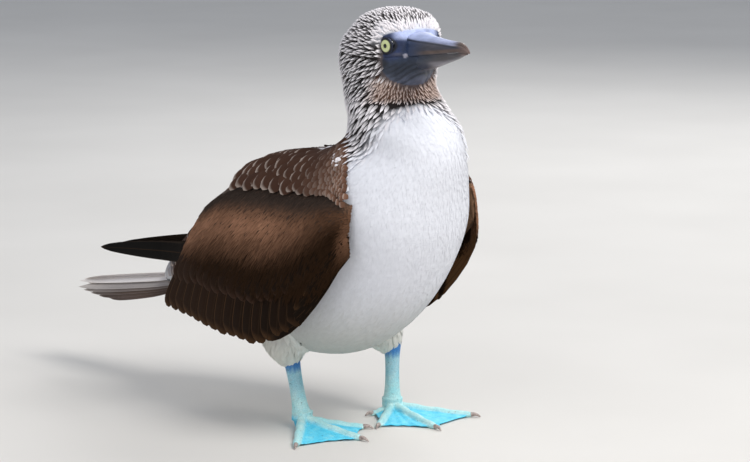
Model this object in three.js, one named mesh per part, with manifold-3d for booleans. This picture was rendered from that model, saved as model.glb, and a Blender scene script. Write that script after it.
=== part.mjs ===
// A blue-footed booby standing still, life size, with folded wings and its head turned a little to its right.
// Millimetres, +Z up. The bird faces -Y and its left side is +X. The floor is z = 0.
import * as THREE from 'three';
import { mergeVertices } from 'three/addons/utils/BufferGeometryUtils.js';
import Module from 'manifold-3d';

const wasm = await Module();
wasm.setup();
const { Manifold, Mesh } = wasm;

// Driving dimensions.
const GAP = 0.35; // clearance between pieces that touch
const EYE_RADIUS = 8.2;
const EYE_TO_TIP = 107;
const WEB_THICKNESS = 1.5;
const WEB_HOLLOW = 0.1; // how far the web's front edge is drawn in, as a share of the toes' length
const WEB_SAG = 0.9;
const VANE_THICKNESS = 0.9;
const HEAD_TURN = -16; // degrees about the neck, towards the bird's right
const BILL_RISE = 0.137; // rise of the mouth line for each millimetre forward

// Stations of the body from rump to crown. Each is a section through a point on the back and one on the belly.
// back y, back z, belly y, belly z, half width, taper towards the belly side, turn in degrees
const BODY_STATIONS = [
  [256, 129, 248, 102, 14, 0, 0],
  [228, 157, 216, 97, 29, 0, 0],
  [194, 191, 174, 89, 41, -0.02, 0],
  [150, 227, 116, 78, 55, -0.06, 0],
  [100, 254, 49, 68, 71, -0.12, 0],
  [57, 269, -16, 74, 80, -0.12, 0],
  [24, 276, -66, 101, 82, -0.06, 0],
  [4, 279, -106, 143, 82, 0, 0],
  [-8, 283, -133, 196, 80, 0, 0],
  [-17, 290, -143, 245, 70, 0.03, 0],
  [-23, 300, -149, 280, 56, 0.04, -3],
  [-22, 316, -143, 304, 53, 0, -8],
  [-18, 333, -123, 325, 49.5, 0, -12],
  [-13, 351, -112, 344, 46, 0.05, -15],
  [-11, 369, -113, 361, 47, 0.1, -16],
  [-15, 388, -119, 382, 47, 0.12, -16],
  [-27, 403, -118, 400, 42, 0.1, -16],
  [-37, 414, -110, 413, 33, 0.04, -16],
  [-56, 420.5, -94, 420, 17, 0, -16],
];
const BODY_RINGS = 46;
const BODY_SIDES = 24;
const TORSO_END = 9.6; // station number where the torso meets the neck
const NECK_END = 12.3;
const HEAD_SQUARE = { from: 13, to: 15, power: 0.86 }; // the head's sections are a little squared

// The head's own frame: +F forward, +S to the bird's right, +Z up, about this centre.
const HEAD_CENTRE = new THREE.Vector3(0, -69, 375);
const EYE_AT = { f: 32, s: 29, z: 15.2 };
const BILL_TIP_F = EYE_AT.f + EYE_TO_TIP;
const BILL_DROOP = 0.007; // how fast the last 16 mm of the bill curve down
const BILL_ROOT = { f: 44, z: 5.4 }; // where the mouth line leaves the face

// Folded wing: a surface from its top edge to its hem, front to back.
// top x, y, z, hem x, y, z, outward bulge
const WING_COLUMNS = [
  [87, -94, 232, 90, -95, 190, 3],
  [84, -66, 241, 94, -61, 150, 7],
  [77, -24, 244, 94, -20, 112, 11],
  [69, 22, 243, 88, 35, 90, 14],
  [62, 68, 239, 79, 97, 90, 15],
  [54, 112, 231, 68, 156, 96, 13],
  [45, 150, 213, 56, 208, 99, 9],
];

// Materials, from the bird's own colours.
const finish = (color, roughness) => new THREE.MeshStandardMaterial({ color, roughness, metalness: 0 });
const MATERIALS = {
  white: finish('#e9e7e4', 0.85),
  streaked: finish('#a79a90', 0.85),
  brown: finish('#4a3425', 0.8),
  dark: finish('#1f1915', 0.7),
  tail: finish('#c3b9b2', 0.75),
  bill: finish('#5a6272', 0.45),
  eye: finish('#d9e07a', 0.1),
  blueSkin: finish('#3fb6dc', 0.55),
  claw: finish('#b9a9a4', 0.5),
};

const point = (x, y, z) => new THREE.Vector3(x, y, z);
const radians = THREE.MathUtils.degToRad;

/** Catmull-Rom blend of rows of numbers at place u, from 0 to rows.length - 1. */
function blend(rows, u) {
  const last = rows.length - 1;
  const i = Math.min(Math.max(Math.floor(u), 0), last - 1);
  const t = u - i;
  const row = (k) => rows[Math.min(Math.max(k, 0), last)];
  const [a, b, c, d] = [row(i - 1), row(i), row(i + 1), row(i + 2)];
  return b.map((_, k) => {
    const v0 = (c[k] - a[k]) / 2;
    const v1 = (d[k] - b[k]) / 2;
    const rise = b[k] - c[k];
    return ((2 * rise + v0 + v1) * t + (-3 * rise - 2 * v0 - v1)) * t * t + v0 * t + b[k];
  });
}

/** Geometry from points and triangles, turned so that its faces point out. */
function closedGeometry(points, triangles) {
  let volume = 0;
  for (const [a, b, c] of triangles) volume += points[a].dot(point().crossVectors(points[b], points[c]));
  const facing = volume < 0 ? triangles.map(([a, b, c]) => [a, c, b]) : triangles;
  const geometry = new THREE.BufferGeometry().setFromPoints(points);
  geometry.setIndex(facing.flat());
  return geometry;
}

/** Closed skin over equal rings of points, with a fan at each end. */
function lofted(rings) {
  const sides = rings[0].length;
  const points = rings.flat();
  const triangles = [];
  for (let r = 0; r < rings.length - 1; r++) {
    for (let i = 0; i < sides; i++) {
      const a = r * sides + i;
      const b = r * sides + ((i + 1) % sides);
      triangles.push([a, b, b + sides], [a, b + sides, a + sides]);
    }
  }
  for (const [ring, first, flip] of [[rings[0], 0, true], [rings.at(-1), (rings.length - 1) * sides, false]]) {
    const middle = ring.reduce((sum, p) => sum.add(p), point(0, 0, 0)).divideScalar(sides);
    points.push(middle);
    for (let i = 0; i < sides; i++) {
      const pair = [first + i, first + ((i + 1) % sides)];
      triangles.push([...(flip ? pair.reverse() : pair), points.length - 1]);
    }
  }
  return closedGeometry(points, triangles);
}

/** A manifold-3d solid of a closed geometry. */
function solidOf(geometry) {
  const bare = geometry.clone();
  bare.deleteAttribute('normal');
  bare.deleteAttribute('uv');
  const merged = mergeVertices(bare, 1e-4);
  return new Manifold(new Mesh({
    numProp: 3,
    vertProperties: merged.attributes.position.array,
    triVerts: new Uint32Array(merged.index.array),
  }));
}

/** The solid's largest closed surface. */
const largest = (solid) => solid.decompose().reduce((best, s) => (s.volume() > best.volume() ? s : best));

/** A named mesh of a solid. */
function meshOf(name, solid, material) {
  const { vertProperties, triVerts } = largest(solid).getMesh();
  const geometry = new THREE.BufferGeometry();
  geometry.setAttribute('position', new THREE.BufferAttribute(vertProperties, 3));
  geometry.setIndex(new THREE.BufferAttribute(triVerts, 1));
  geometry.computeVertexNormals();
  const mesh = new THREE.Mesh(geometry, material);
  mesh.name = name;
  return mesh;
}

const repeat = (count, make) => Array.from({ length: count }, (_, i) => make(i));
const joined = (solids) => solids.reduce((sum, s) => sum.add(s));
const boxSolid = (size, centre) => {
  const box = new THREE.BoxGeometry(...size).translate(...centre);
  return solidOf(box);
};

/** The same solid on the bird's other side. */
const mirrored = (solid) => solid.mirror([1, 0, 0]);

// Body, neck and head.

/** One section of the body, grown outwards by grow. */
function bodyRing(place, grow = 0) {
  const [backY, backZ, frontY, frontZ, half, taper, turn] = blend(BODY_STATIONS, place);
  const back = point(0, backY, backZ);
  const front = point(0, frontY, frontZ);
  const middle = back.clone().add(front).divideScalar(2);
  const reach = front.clone().sub(back).divideScalar(2);
  reach.setLength(reach.length() + grow);
  const squared = THREE.MathUtils.smoothstep(place, HEAD_SQUARE.from, HEAD_SQUARE.to);
  const power = THREE.MathUtils.lerp(1, HEAD_SQUARE.power, squared);
  const ring = [];
  for (let i = 0; i < BODY_SIDES; i++) {
    const angle = (2 * Math.PI * i) / BODY_SIDES;
    const [along, aside] = [Math.cos(angle), Math.sin(angle)].map((v) => Math.sign(v) * Math.abs(v) ** power);
    const across = (half + grow) * aside * (1 - taper * along);
    const p = point(across, 0, 0).addScaledVector(reach, along);
    ring.push(p.applyAxisAngle(point(0, 0, 1), radians(turn)).add(middle));
  }
  return ring;
}

function bodySolid(from, to, grow = 0) {
  const rings = [];
  const count = Math.round((BODY_RINGS * (to - from)) / (BODY_STATIONS.length - 1));
  for (let i = 0; i <= count; i++) rings.push(bodyRing(from + ((to - from) * i) / count, grow));
  return solidOf(lofted(rings));
}

/** A point of the head's own frame in the bird's frame. */
function headPoint(f, s, z) {
  const turned = point(-s, -f, z).applyAxisAngle(point(0, 0, 1), radians(HEAD_TURN));
  return turned.add(HEAD_CENTRE);
}

/** Closed loft along the bill's line: stations of f, each with a section of [s, z] points. */
function headLoft(stations) {
  return solidOf(lofted(stations.map(({ f, section }) => section.map(([s, z]) => headPoint(f, s, z)))));
}

/** Height of the mouth line at f, which droops at the tip. */
function mouthZ(f) {
  const droop = BILL_DROOP * Math.max(f - BILL_TIP_F + 16, 0) ** 2;
  return BILL_ROOT.z + BILL_RISE * (f - BILL_ROOT.f) - droop;
}

// Upper mandible by distance from the tip: height over the mouth line, half width at the edge.
const UPPER_BILL = [
  [0, 1.6, 0.9], [4, 4.2, 2.4], [10, 7, 3.9], [20, 9.6, 5.4], [38, 12.3, 7.2], [60, 16.4, 9.4],
  [82, 21.4, 12], [98, 25.6, 14],
];
// Lower mandible: depth under the mouth line, half width at the edge.
const LOWER_BILL = [
  [3, 1.3, 0.8], [10, 3.4, 3.1], [20, 6, 4.7], [38, 9, 6.6], [60, 12.5, 9], [82, 14.5, 11.4],
  [98, 15, 13],
];

/** Half section of the upper mandible, from its edge up to the ridge, with the groove beside the ridge. */
const UPPER_SECTION = [[1, 0], [1.02, 0.28], [0.86, 0.55], [0.6, 0.7], [0.5, 0.72], [0.42, 0.88], [0.16, 1]];
const LOWER_SECTION = [[1, 0], [1, -0.35], [0.8, -0.72], [0.42, -0.95], [0.12, -1]];

function mandible(rows, half, grow, lift) {
  return headLoft(rows.map(([fromTip, height, width]) => {
    const f = BILL_TIP_F - fromTip + (fromTip === rows[0][0] ? grow : 0);
    const z = mouthZ(f) + lift;
    const up = ([, h]) => h * height + grow * Math.sign(h || -lift);
    const side = half.map((corner) => [corner[0] * width + grow, up(corner)]);
    const section = [...side, ...side.map(([w, h]) => [-w, h]).reverse()];
    return { f, section: section.map(([s, h]) => [s, z + h]) };
  }));
}

const upperBill = (grow = 0) => mandible(UPPER_BILL, UPPER_SECTION, grow, GAP / 2);
const lowerBill = (grow = 0) => mandible(LOWER_BILL, LOWER_SECTION, grow, -GAP / 2);

// Pouch and bare face along the bill's line: f, height over the mouth line, depth under it, half width.
const FACE = [
  [10, 20, 26, 24], [24, 23, 28, 26.5], [38, 24, 30, 24], [52, 21, 29, 19], [66, 15, 25, 14.5],
  [80, 8, 18.5, 10], [92, 2, 13, 6],
];
const FACE_SIDES = 12;
const EYE_LOOK = 30; // degrees that the eye looks ahead of straight sideways
const LID = { radius: 6.7, thickness: 1.1 };
const MOUTH_CORNER_F = 27;
const MOUTH_DEPTH = 1.5;
// Edge of the feathers round the bare face, seen from the side: f, z.
const FACE_EDGE = [
  [44, 31], [34, 27.5], [26, 23], [21, 14], [20, 2], [22, -10], [28, -20], [38, -26.5],
  [52, -28], [80, -28], [80, 31],
];
const FEATHER_DEPTH = 4; // depth of the plumage at that edge

function faceSolid() {
  return headLoft(FACE.map(([f, above, below, half]) => {
    const [top, bottom] = [mouthZ(f) + above, mouthZ(f) - below];
    const section = [];
    for (let i = 0; i < FACE_SIDES; i++) {
      const angle = (2 * Math.PI * i) / FACE_SIDES;
      section.push([half * Math.cos(angle), (top + bottom) / 2 + ((top - bottom) / 2) * Math.sin(angle)]);
    }
    return { f, section };
  }));
}

/** Everything at the bird's sides that lies inside the feathers' edge round the face. */
function faceRoom() {
  const depth = 120;
  const shape = new THREE.Shape(FACE_EDGE.map(([f, z]) => new THREE.Vector2(f, z)));
  const prism = new THREE.ExtrudeGeometry(shape, { depth, bevelEnabled: false });
  const place = new THREE.Matrix4().makeBasis(point(0, -1, 0), point(0, 0, 1), point(-1, 0, 0));
  place.setPosition(depth / 2, 0, 0);
  const turn = new THREE.Matrix4().makeRotationZ(radians(HEAD_TURN)).setPosition(HEAD_CENTRE);
  return solidOf(prism.applyMatrix4(place).applyMatrix4(turn));
}

const eyeCentre = (side) => headPoint(EYE_AT.f, side * (EYE_AT.s - EYE_RADIUS * 0.55), EYE_AT.z);
const eyeSolid = (side, grow = 0) => {
  const at = eyeCentre(side);
  return solidOf(new THREE.SphereGeometry(EYE_RADIUS + grow, 14, 10).translate(at.x, at.y, at.z));
};

/** Ring of the lids round an eye. */
function lidsSolid(side) {
  const forward = radians(EYE_LOOK);
  const axis = headPoint(Math.sin(forward), side * Math.cos(forward), 0).sub(headPoint(0, 0, 0));
  const ring = new THREE.TorusGeometry(LID.radius, LID.thickness, 6, 16);
  ring.applyQuaternion(new THREE.Quaternion().setFromUnitVectors(point(0, 0, 1), axis));
  const out = Math.sqrt(EYE_RADIUS ** 2 - LID.radius ** 2);
  const at = eyeCentre(side).addScaledVector(axis, out);
  return solidOf(ring.translate(at.x, at.y, at.z));
}

/** Slot of the mouth's line, from the bill back to the corner of the mouth. */
function mouthRoom() {
  return headLoft([MOUTH_CORNER_F, 60, 80].map((f) => {
    const z = mouthZ(f);
    return { f, section: [[-60, z - GAP], [60, z - GAP], [60, z + GAP], [-60, z + GAP]] };
  }));
}

// Wings.

/** Point of the left wing's surface, s from front to back, t from the top edge to the hem. */
function wingPoint(s, t) {
  const [tx, ty, tz, hx, hy, hz, bulge] = blend(WING_COLUMNS, s * (WING_COLUMNS.length - 1));
  const p = point(tx, ty, tz).lerp(point(hx, hy, hz), t);
  p.x += bulge * 4 * t * (1 - t);
  return p;
}

/** Place, side direction and outward normal on the left wing. */
function wingFrame(s, t) {
  const step = 0.01;
  const across = wingPoint(s + step, t).sub(wingPoint(s - step, t)).normalize();
  const down = wingPoint(s, t + step).sub(wingPoint(s, t - step)).normalize();
  const normal = point().crossVectors(down, across).normalize();
  if (normal.x < 0) normal.negate();
  return { at: wingPoint(s, t), across, down, normal };
}

/** Closed slab over a grid of places, between an outer and an inner offset, split alike on both faces. */
function slab(rows, columns, frameAt, offsets) {
  const points = [];
  for (let side = 0; side < 2; side++) {
    for (let r = 0; r <= rows; r++) {
      for (let c = 0; c <= columns; c++) {
        const { at, normal } = frameAt(r / rows, c / columns);
        points.push(at.clone().addScaledVector(normal, offsets(r / rows, c / columns)[side]));
      }
    }
  }
  const width = columns + 1;
  const sheet = (rows + 1) * width;
  const triangles = [];
  for (let r = 0; r < rows; r++) {
    for (let c = 0; c < columns; c++) {
      const a = r * width + c;
      triangles.push([a, a + 1, a + width + 1], [a, a + width + 1, a + width]);
      const far = sheet + a;
      triangles.push([far, far + width + 1, far + 1], [far, far + width, far + width + 1]);
    }
  }
  const rim = [];
  for (let c = 0; c < columns; c++) rim.push(c);
  for (let r = 0; r < rows; r++) rim.push(r * width + columns);
  for (let c = columns; c > 0; c--) rim.push(rows * width + c);
  for (let r = rows; r > 0; r--) rim.push(r * width);
  rim.forEach((a, i) => {
    const b = rim[(i + 1) % rim.length];
    triangles.push([b, a, sheet + a], [b, sheet + a, sheet + b]);
  });
  return solidOf(closedGeometry(points, triangles));
}

/** Share of full thickness at a place that is u from an edge, for an edge rounded over a width r. */
const rounded = (u, r) => (u >= r ? 1 : Math.sqrt(Math.max(0, 1 - (1 - u / r) ** 2)));

const WING_ROWS = 8;
const WING_SPAN = 14;
// Outer height of the wing's core over its surface, by t. Rows of feathers are rooted in the slope.
const CORE_HEIGHT = [[0, 0.6], [0.06, 2.6], [0.16, 2.6], [0.33, 0], [0.5, -2.35], [0.62, -3.4], [1, -3.4]];
const CORE_END = 0.64;
const FRONT_EDGE = 0.05; // share of the wing's span that its front edge takes up

// Rows of wing feathers: count, first and last place from front to back, t of root and tip, and their heights.
const FEATHER_ROWS = [
  { count: 13, from: 0.07, to: 0.955, root: 0.5, tip: 0.995, low: -4, high: 0 },
  { count: 10, from: 0.065, to: 0.945, root: 0.33, tip: 0.73, low: -2, high: 1.9 },
  { count: 8, from: 0.08, to: 0.93, root: 0.16, tip: 0.48, low: 0.2, high: 3.7 },
];
const FEATHER_TILT = 0.9; // how far each feather's front edge stands out, and its back edge goes in
const FEATHER_OVERLAP = 1.4; // width over spacing
const FEATHER_WIDTHS = [0.8, 1, 1, 0.94, 0.62]; // from root to tip

/** Height between the rows of a table at place t. */
function heightAt(table, t) {
  const next = Math.max(1, table.findIndex(([place]) => place >= t));
  const [[t0, h0], [t1, h1]] = [table[next - 1], table[next]];
  return THREE.MathUtils.mapLinear(t, t0, t1, h0, h1);
}

/** Width factor of a feather, u from root to tip. */
function featherWidth(widths, u) {
  const place = u * (widths.length - 1);
  const i = Math.min(Math.floor(place), widths.length - 2);
  return THREE.MathUtils.lerp(widths[i], widths[i + 1], place - i);
}

/** Thin feather over a frame of places, u from root to tip and v across it. */
function vane(rows, frameAt, columns = 1) {
  return slab(rows, columns, frameAt, () => [VANE_THICKNESS / 2, -VANE_THICKNESS / 2]);
}

function wingFeather({ count, from, to, root, tip, low, high }, i) {
  const spacing = (to - from) / (count - 1);
  const middle = from + spacing * i;
  const reach = tip - 0.012 * (i % 3);
  return vane(FEATHER_WIDTHS.length - 1, (u, v) => {
    const half = (spacing * FEATHER_OVERLAP * featherWidth(FEATHER_WIDTHS, u)) / 2;
    const { at, normal } = wingFrame(middle + (2 * v - 1) * half, THREE.MathUtils.lerp(root, reach, u));
    const height = THREE.MathUtils.lerp(low, high, u) + FEATHER_TILT * (1 - 2 * v);
    return { at: at.addScaledVector(normal, height), normal };
  });
}

/** Depth of the wing under its surface, which fills the room between its shoulder and the body. */
const wingDepth = (s, t) => 5 + (7 + 16 * (1 - s) ** 2) * (1 - t ** 2);

function wingCore() {
  return slab(WING_ROWS, WING_SPAN, (t, s) => wingFrame(s, t * CORE_END), (t, s) => {
    const end = Math.max(0.1, rounded(s, 0.22) * rounded(1 - s, 0.06));
    return [heightAt(CORE_HEIGHT, t * CORE_END), -wingDepth(s, t * CORE_END) * end];
  });
}

/** Front edge of the wing, down to the hem. */
function wingFront() {
  return slab(8, 2, (t, s) => wingFrame(s * FRONT_EDGE, t), (t, s) => {
    const end = Math.max(0.15, rounded(s, 0.8) * rounded(1 - t, 0.15));
    return [THREE.MathUtils.lerp(2.6, 0.6, t) * end, -THREE.MathUtils.lerp(9, 5, t) * end];
  });
}

function wingSolid() {
  const feathers = FEATHER_ROWS.flatMap((row) => repeat(row.count, (i) => wingFeather(row, i)));
  return joined([wingCore().subtract(primariesRoom()), wingFront(), ...feathers]);
}

// Folded primaries: a blade from under the wing to its tip. x, y, z, half height
const PRIMARY_BLADE = [
  [50.5, 152, 162, 15],
  [49, 190, 157, 14],
  [43, 228, 152, 12.5],
  [34, 268, 147, 11],
  [25, 308, 142, 8],
  [17, 346, 137, 4],
  [15, 363, 135, 1],
];
const PRIMARY_ROOT = 0.16; // share of the blade that holds the feathers' roots
const PRIMARY_COUNT = 5;
const PRIMARY_STEP = { y: 19, z: 1.5 }; // how far each tip falls short of the last, and stands higher
const PRIMARY_PITCH = 1.35; // from one feather to the next, through the blade
const PRIMARY_HALF = 11.5;
const PRIMARY_WIDTHS = [0.9, 1, 1, 0.95, 0.72, 0.14];

/** Place on the blade, u from its root to its tip and height over its middle. */
function bladePoint(u, height) {
  const [x, y, z] = blend(PRIMARY_BLADE, u * (PRIMARY_BLADE.length - 1));
  return point(x, y, z + height);
}

function primaryFeather(i) {
  const out = (i - (PRIMARY_COUNT - 1) / 2) * PRIMARY_PITCH;
  return vane(PRIMARY_WIDTHS.length - 1, (u, v) => {
    const half = PRIMARY_HALF * featherWidth(PRIMARY_WIDTHS, u);
    const at = bladePoint(u, (2 * v - 1) * half + PRIMARY_STEP.z * i * u);
    return { at: at.add(point(out, -PRIMARY_STEP.y * i * u, 0)), normal: point(1, 0, 0) };
  });
}

/** Block along the first share of the blade, as thick as the stack of feathers. */
function bladeBlock(share, half, thickness) {
  return slab(4, 1, (u, v) => ({ at: bladePoint(u * share, half * (2 * v - 1)), normal: point(1, 0, 0) }),
    () => [thickness / 2, -thickness / 2]);
}

function primariesSolid() {
  const root = bladeBlock(PRIMARY_ROOT, PRIMARY_HALF + 2, PRIMARY_COUNT * PRIMARY_PITCH);
  return joined([root, ...repeat(PRIMARY_COUNT, primaryFeather)]);
}

/** Room that the primaries need under the wing. */
function primariesRoom() {
  const half = PRIMARY_HALF + PRIMARY_COUNT * PRIMARY_STEP.z + 4;
  return bladeBlock(0.4, half, PRIMARY_COUNT * PRIMARY_PITCH + 2 * GAP).translate([0, -GAP - 1, 0]);
}

// Tail.

// Root of the tail: y, z at its middle, half width, drop of its outer edge, half thickness.
const TAIL_ROOT = [
  [244, 114, 15, 5, 11],
  [262, 110, 19, 10, 7.5],
  [281, 107, 20.3, 13.2, 2.2],
];
const TAIL_TOP = { y: 250, z: 114, slope: -0.17 }; // line of the ridge
const TAIL_LENGTHS = [158, 154, 143, 127, 108, 86]; // from the middle pair outwards
const TAIL_ROOF = 33; // degrees that the tail slopes down to each side
const TAIL_PITCH = 1.4;
const TAIL_SPREAD = { root: 1.6, tip: 4.3 }; // step between feathers, across the tail
const TAIL_HALF = 8.5;
const TAIL_WIDTHS = [0.8, 1, 1, 0.96, 0.78, 0.32];

/** Place on the tail: length from its root, distance across the ridge, and depth under the top feather. */
function tailPoint(length, across, depth) {
  const angle = radians(TAIL_ROOF);
  const fall = Math.abs(across) * Math.sin(angle) + depth;
  return point(across * Math.cos(angle), TAIL_TOP.y + length, TAIL_TOP.z + TAIL_TOP.slope * length - fall);
}

/** Middle feather, which is bent over the ridge. */
function middleTailFeather(i) {
  return vane(TAIL_WIDTHS.length - 1, (u, v) => {
    const half = TAIL_HALF * featherWidth(TAIL_WIDTHS, u);
    const length = u * (TAIL_LENGTHS[0] - 5 * i);
    return { at: tailPoint(length, (2 * v - 1) * half, i * TAIL_PITCH), normal: point(0, 0, 1) };
  }, 2);
}

function sideTailFeather(side, i) {
  return vane(TAIL_WIDTHS.length - 1, (u, v) => {
    const half = TAIL_HALF * featherWidth(TAIL_WIDTHS, u);
    const near = 0.6 + THREE.MathUtils.lerp(TAIL_SPREAD.root, TAIL_SPREAD.tip, u) * (i - 1);
    const across = near + TAIL_HALF + (2 * v - 1) * half;
    return { at: tailPoint(u * TAIL_LENGTHS[i], side * across, (i + 1) * TAIL_PITCH), normal: point(0, 0, 1) };
  });
}

/** Wedge that holds the roots of the tail's feathers, flat along its ridge. */
function tailRoot() {
  return solidOf(lofted(TAIL_ROOT.map(([y, z, half, drop, thick]) => {
    const edge = thick * 0.4;
    const flat = half * 0.15;
    const side = [[flat, thick], [half, edge - drop], [half, -edge - drop], [flat, -edge - drop - 1]];
    const both = [...side, ...side.map(([x, up]) => [-x, up]).reverse()];
    return both.map(([x, up]) => point(x, y, z + up));
  })));
}

function tailSolid() {
  const pairs = TAIL_LENGTHS.slice(1).map((_, i) => [sideTailFeather(1, i + 1), sideTailFeather(-1, i + 1)]);
  return joined([tailRoot(), middleTailFeather(0), middleTailFeather(1), ...pairs.flat()]);
}

// Legs. Toes head outwards from straight ahead by a number of degrees.
const LEGS = {
  left: {
    side: 1, hip: [58, 24, 110], hock: [65.5, -1, 66], ankle: [65.5, -1, 9],
    toes: { outer: 33, middle: -13, inner: -58, hind: -108 },
  },
  right: {
    side: -1, hip: [44, 46, 106], hock: [36, 41, 61], ankle: [40.5, 20, 9],
    toes: { outer: 48, middle: -2, inner: -38, hind: -88 },
  },
};
const TOE_LENGTH = { outer: 84, middle: 82, inner: 64, hind: 25 };
const TOE_RADIUS = { outer: 4.2, middle: 4.4, inner: 4, hind: 3.2 };
const CLAW_LENGTH = { outer: 8, middle: 11, inner: 9, hind: 7 };
const THIGH_RADII = [26, 26, 24.5, 20, 12.5];
const TARSUS_RADII = [8.6, 7.2, 6.6, 6.6, 7.2, 9.5];
const ANKLE_Z = 13; // level where the tarsus meets the foot
const HEEL_RADII = [9.5, 8.5, 7];
const TOE_ROOT_Z = 9; // the toes and the web slope down to the floor from here

/** Round tube through places with a radius each. */
function tube(places, sides = 10) {
  const rings = places.map(({ at, radius }, i) => {
    const before = places[Math.max(i - 1, 0)].at;
    const after = places[Math.min(i + 1, places.length - 1)].at;
    const axis = after.clone().sub(before).normalize();
    const helper = Math.abs(axis.z) > 0.7 ? point(0, 1, 0) : point(0, 0, 1);
    const u = point().crossVectors(helper, axis).normalize();
    const v = point().crossVectors(axis, u);
    return Array.from({ length: sides }, (_, k) => {
      const angle = (2 * Math.PI * (k + 0.5)) / sides;
      const [right, up] = [radius * Math.cos(angle), radius * Math.sin(angle)];
      return at.clone().addScaledVector(u, right).addScaledVector(v, up);
    });
  });
  return solidOf(lofted(rings));
}

/** Direction on the floor of a toe that heads outwards by a number of degrees. */
const heading = (side, degrees) => point(side * Math.sin(radians(degrees)), -Math.cos(radians(degrees)), 0);

/** A leg's place [x, y, z] on its own side. */
const legPoint = (side, [x, y, z]) => point(side * x, y, z);

/** Room over, or under, a level. */
const levelRoom = (z, up) => boxSolid([500, 900, 500], [0, 0, z + (up ? 250 : -250)]);

/** Tube of the given radii between two places. */
function limb(top, end, radii, sides) {
  const last = radii.length - 1;
  return tube(radii.map((radius, i) => ({ at: top.clone().lerp(end, i / last), radius })), sides);
}

function thighSolid({ side, hip, hock }) {
  const thigh = limb(legPoint(side, hip), legPoint(side, hock).add(point(0, 0, -3)), THIGH_RADII, 14);
  return thigh.subtract(levelRoom(hock[2], false));
}

function tarsusSolid({ side, hock, ankle }) {
  const tarsus = limb(legPoint(side, hock).add(point(0, 0, 3)), legPoint(side, ankle), TARSUS_RADII, 12);
  return tarsus.subtract(levelRoom(hock[2] - GAP, true)).subtract(levelRoom(ANKLE_Z, false));
}

/** Point on the line of a toe, t from the ankle to its end, at the middle of the toe's thickness. */
function toePoint({ side, ankle, toes }, name, t) {
  const end = TOE_RADIUS[name] * 0.62;
  const way = heading(side, toes[name]);
  const at = point(side * ankle[0], ankle[1], 0).addScaledVector(way, TOE_LENGTH[name] * t);
  return at.setZ(THREE.MathUtils.lerp(TOE_ROOT_Z, end, THREE.MathUtils.clamp(t * 1.15, 0, 1) ** 0.8));
}

function toeSolid(leg, name) {
  return tube([-0.04, 0.22, 0.48, 0.74, 1].map((t) => ({
    at: toePoint(leg, name, t),
    radius: TOE_RADIUS[name] * THREE.MathUtils.lerp(1.2, 0.75, t),
  })), 8);
}

/** Web between two toes, drawn in a little at its front edge. */
function webSolid(leg, first, second, reach) {
  const frameAt = (t, u) => {
    const along = t * (reach - 4 * WEB_HOLLOW * u * (1 - u));
    const at = toePoint(leg, first, along).lerp(toePoint(leg, second, along), u);
    return { at: at.setZ(at.z - WEB_SAG * 4 * u * (1 - u)), normal: point(0, 0, 1) };
  };
  return slab(5, 3, frameAt, () => [WEB_THICKNESS / 2, -WEB_THICKNESS / 2]);
}

function footSolid(leg) {
  const toes = Object.keys(leg.toes).map((name) => toeSolid(leg, name));
  const webs = [
    webSolid(leg, 'outer', 'middle', 0.98),
    webSolid(leg, 'middle', 'inner', 0.98),
    webSolid(leg, 'inner', 'hind', 0.8),
  ];
  const ankle = legPoint(leg.side, leg.ankle);
  const heel = limb(ankle.clone().setZ(ANKLE_Z + 4), ankle.clone().setZ(-1), HEEL_RADII, 12);
  const whole = joined([...toes, ...webs, heel]);
  return whole.subtract(levelRoom(0, false)).subtract(levelRoom(ANKLE_Z - GAP, true));
}

function clawSolid({ side, ankle, toes }, name) {
  const way = heading(side, toes[name]);
  const base = point(side * ankle[0], ankle[1], 0).addScaledVector(way, TOE_LENGTH[name] + GAP);
  const length = CLAW_LENGTH[name];
  const places = [0, 0.35, 0.7, 1].map((t) => {
    const at = base.clone().addScaledVector(way, t * length).setZ(2.7 + 0.5 * Math.sin(Math.PI * t) - 1.7 * t);
    return { at, radius: THREE.MathUtils.lerp(2.3, 0.5, t) };
  });
  return tube(places, 8);
}

// Assembly.
const bird = new THREE.Group();
const add = (name, solid, material) => bird.add(meshOf(name, solid, material));

const lastStation = BODY_STATIONS.length - 1;
const torso = bodySolid(0, TORSO_END);
const upper = upperBill(GAP);
const lower = lowerBill(GAP);
const eyes = { left: -1, right: 1 };
const sockets = joined(Object.values(eyes).map((s) => eyeSolid(s, GAP)));
const headPart = (grow) => bodySolid(NECK_END + 0.01, lastStation, grow);
const feathers = headPart(0);
const skull = headPart(-FEATHER_DEPTH - MOUTH_DEPTH);
const skin = headPart(-FEATHER_DEPTH).add(faceSolid()).subtract(mouthRoom());
const bare = joined([skin, skull, ...Object.values(eyes).map(lidsSolid)]);
const head = feathers.subtract(faceRoom()).add(bare).subtract(upper).subtract(lower).subtract(sockets);

add('torso', torso, MATERIALS.white);
add('neck', bodySolid(TORSO_END + 0.02, NECK_END - 0.02), MATERIALS.streaked);
add('head', head, MATERIALS.streaked);
add('bill_upper', upperBill(), MATERIALS.bill);
add('bill_lower', lowerBill(), MATERIALS.bill);
for (const [name, s] of Object.entries(eyes)) add('eye_' + name, eyeSolid(s), MATERIALS.eye);

const torsoRoom = bodySolid(0, TORSO_END, GAP);
const neckRoom = bodySolid(TORSO_END - 0.1, NECK_END, GAP);
const leftWing = wingSolid().subtract(torsoRoom).subtract(neckRoom);
const leftPrimaries = primariesSolid().subtract(torsoRoom);
add('wing_left', leftWing, MATERIALS.brown);
add('wing_right', mirrored(leftWing), MATERIALS.brown);
add('primaries_left', leftPrimaries, MATERIALS.dark);
add('primaries_right', mirrored(leftPrimaries), MATERIALS.dark);
add('tail', tailSolid().subtract(torsoRoom), MATERIALS.tail);

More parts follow.
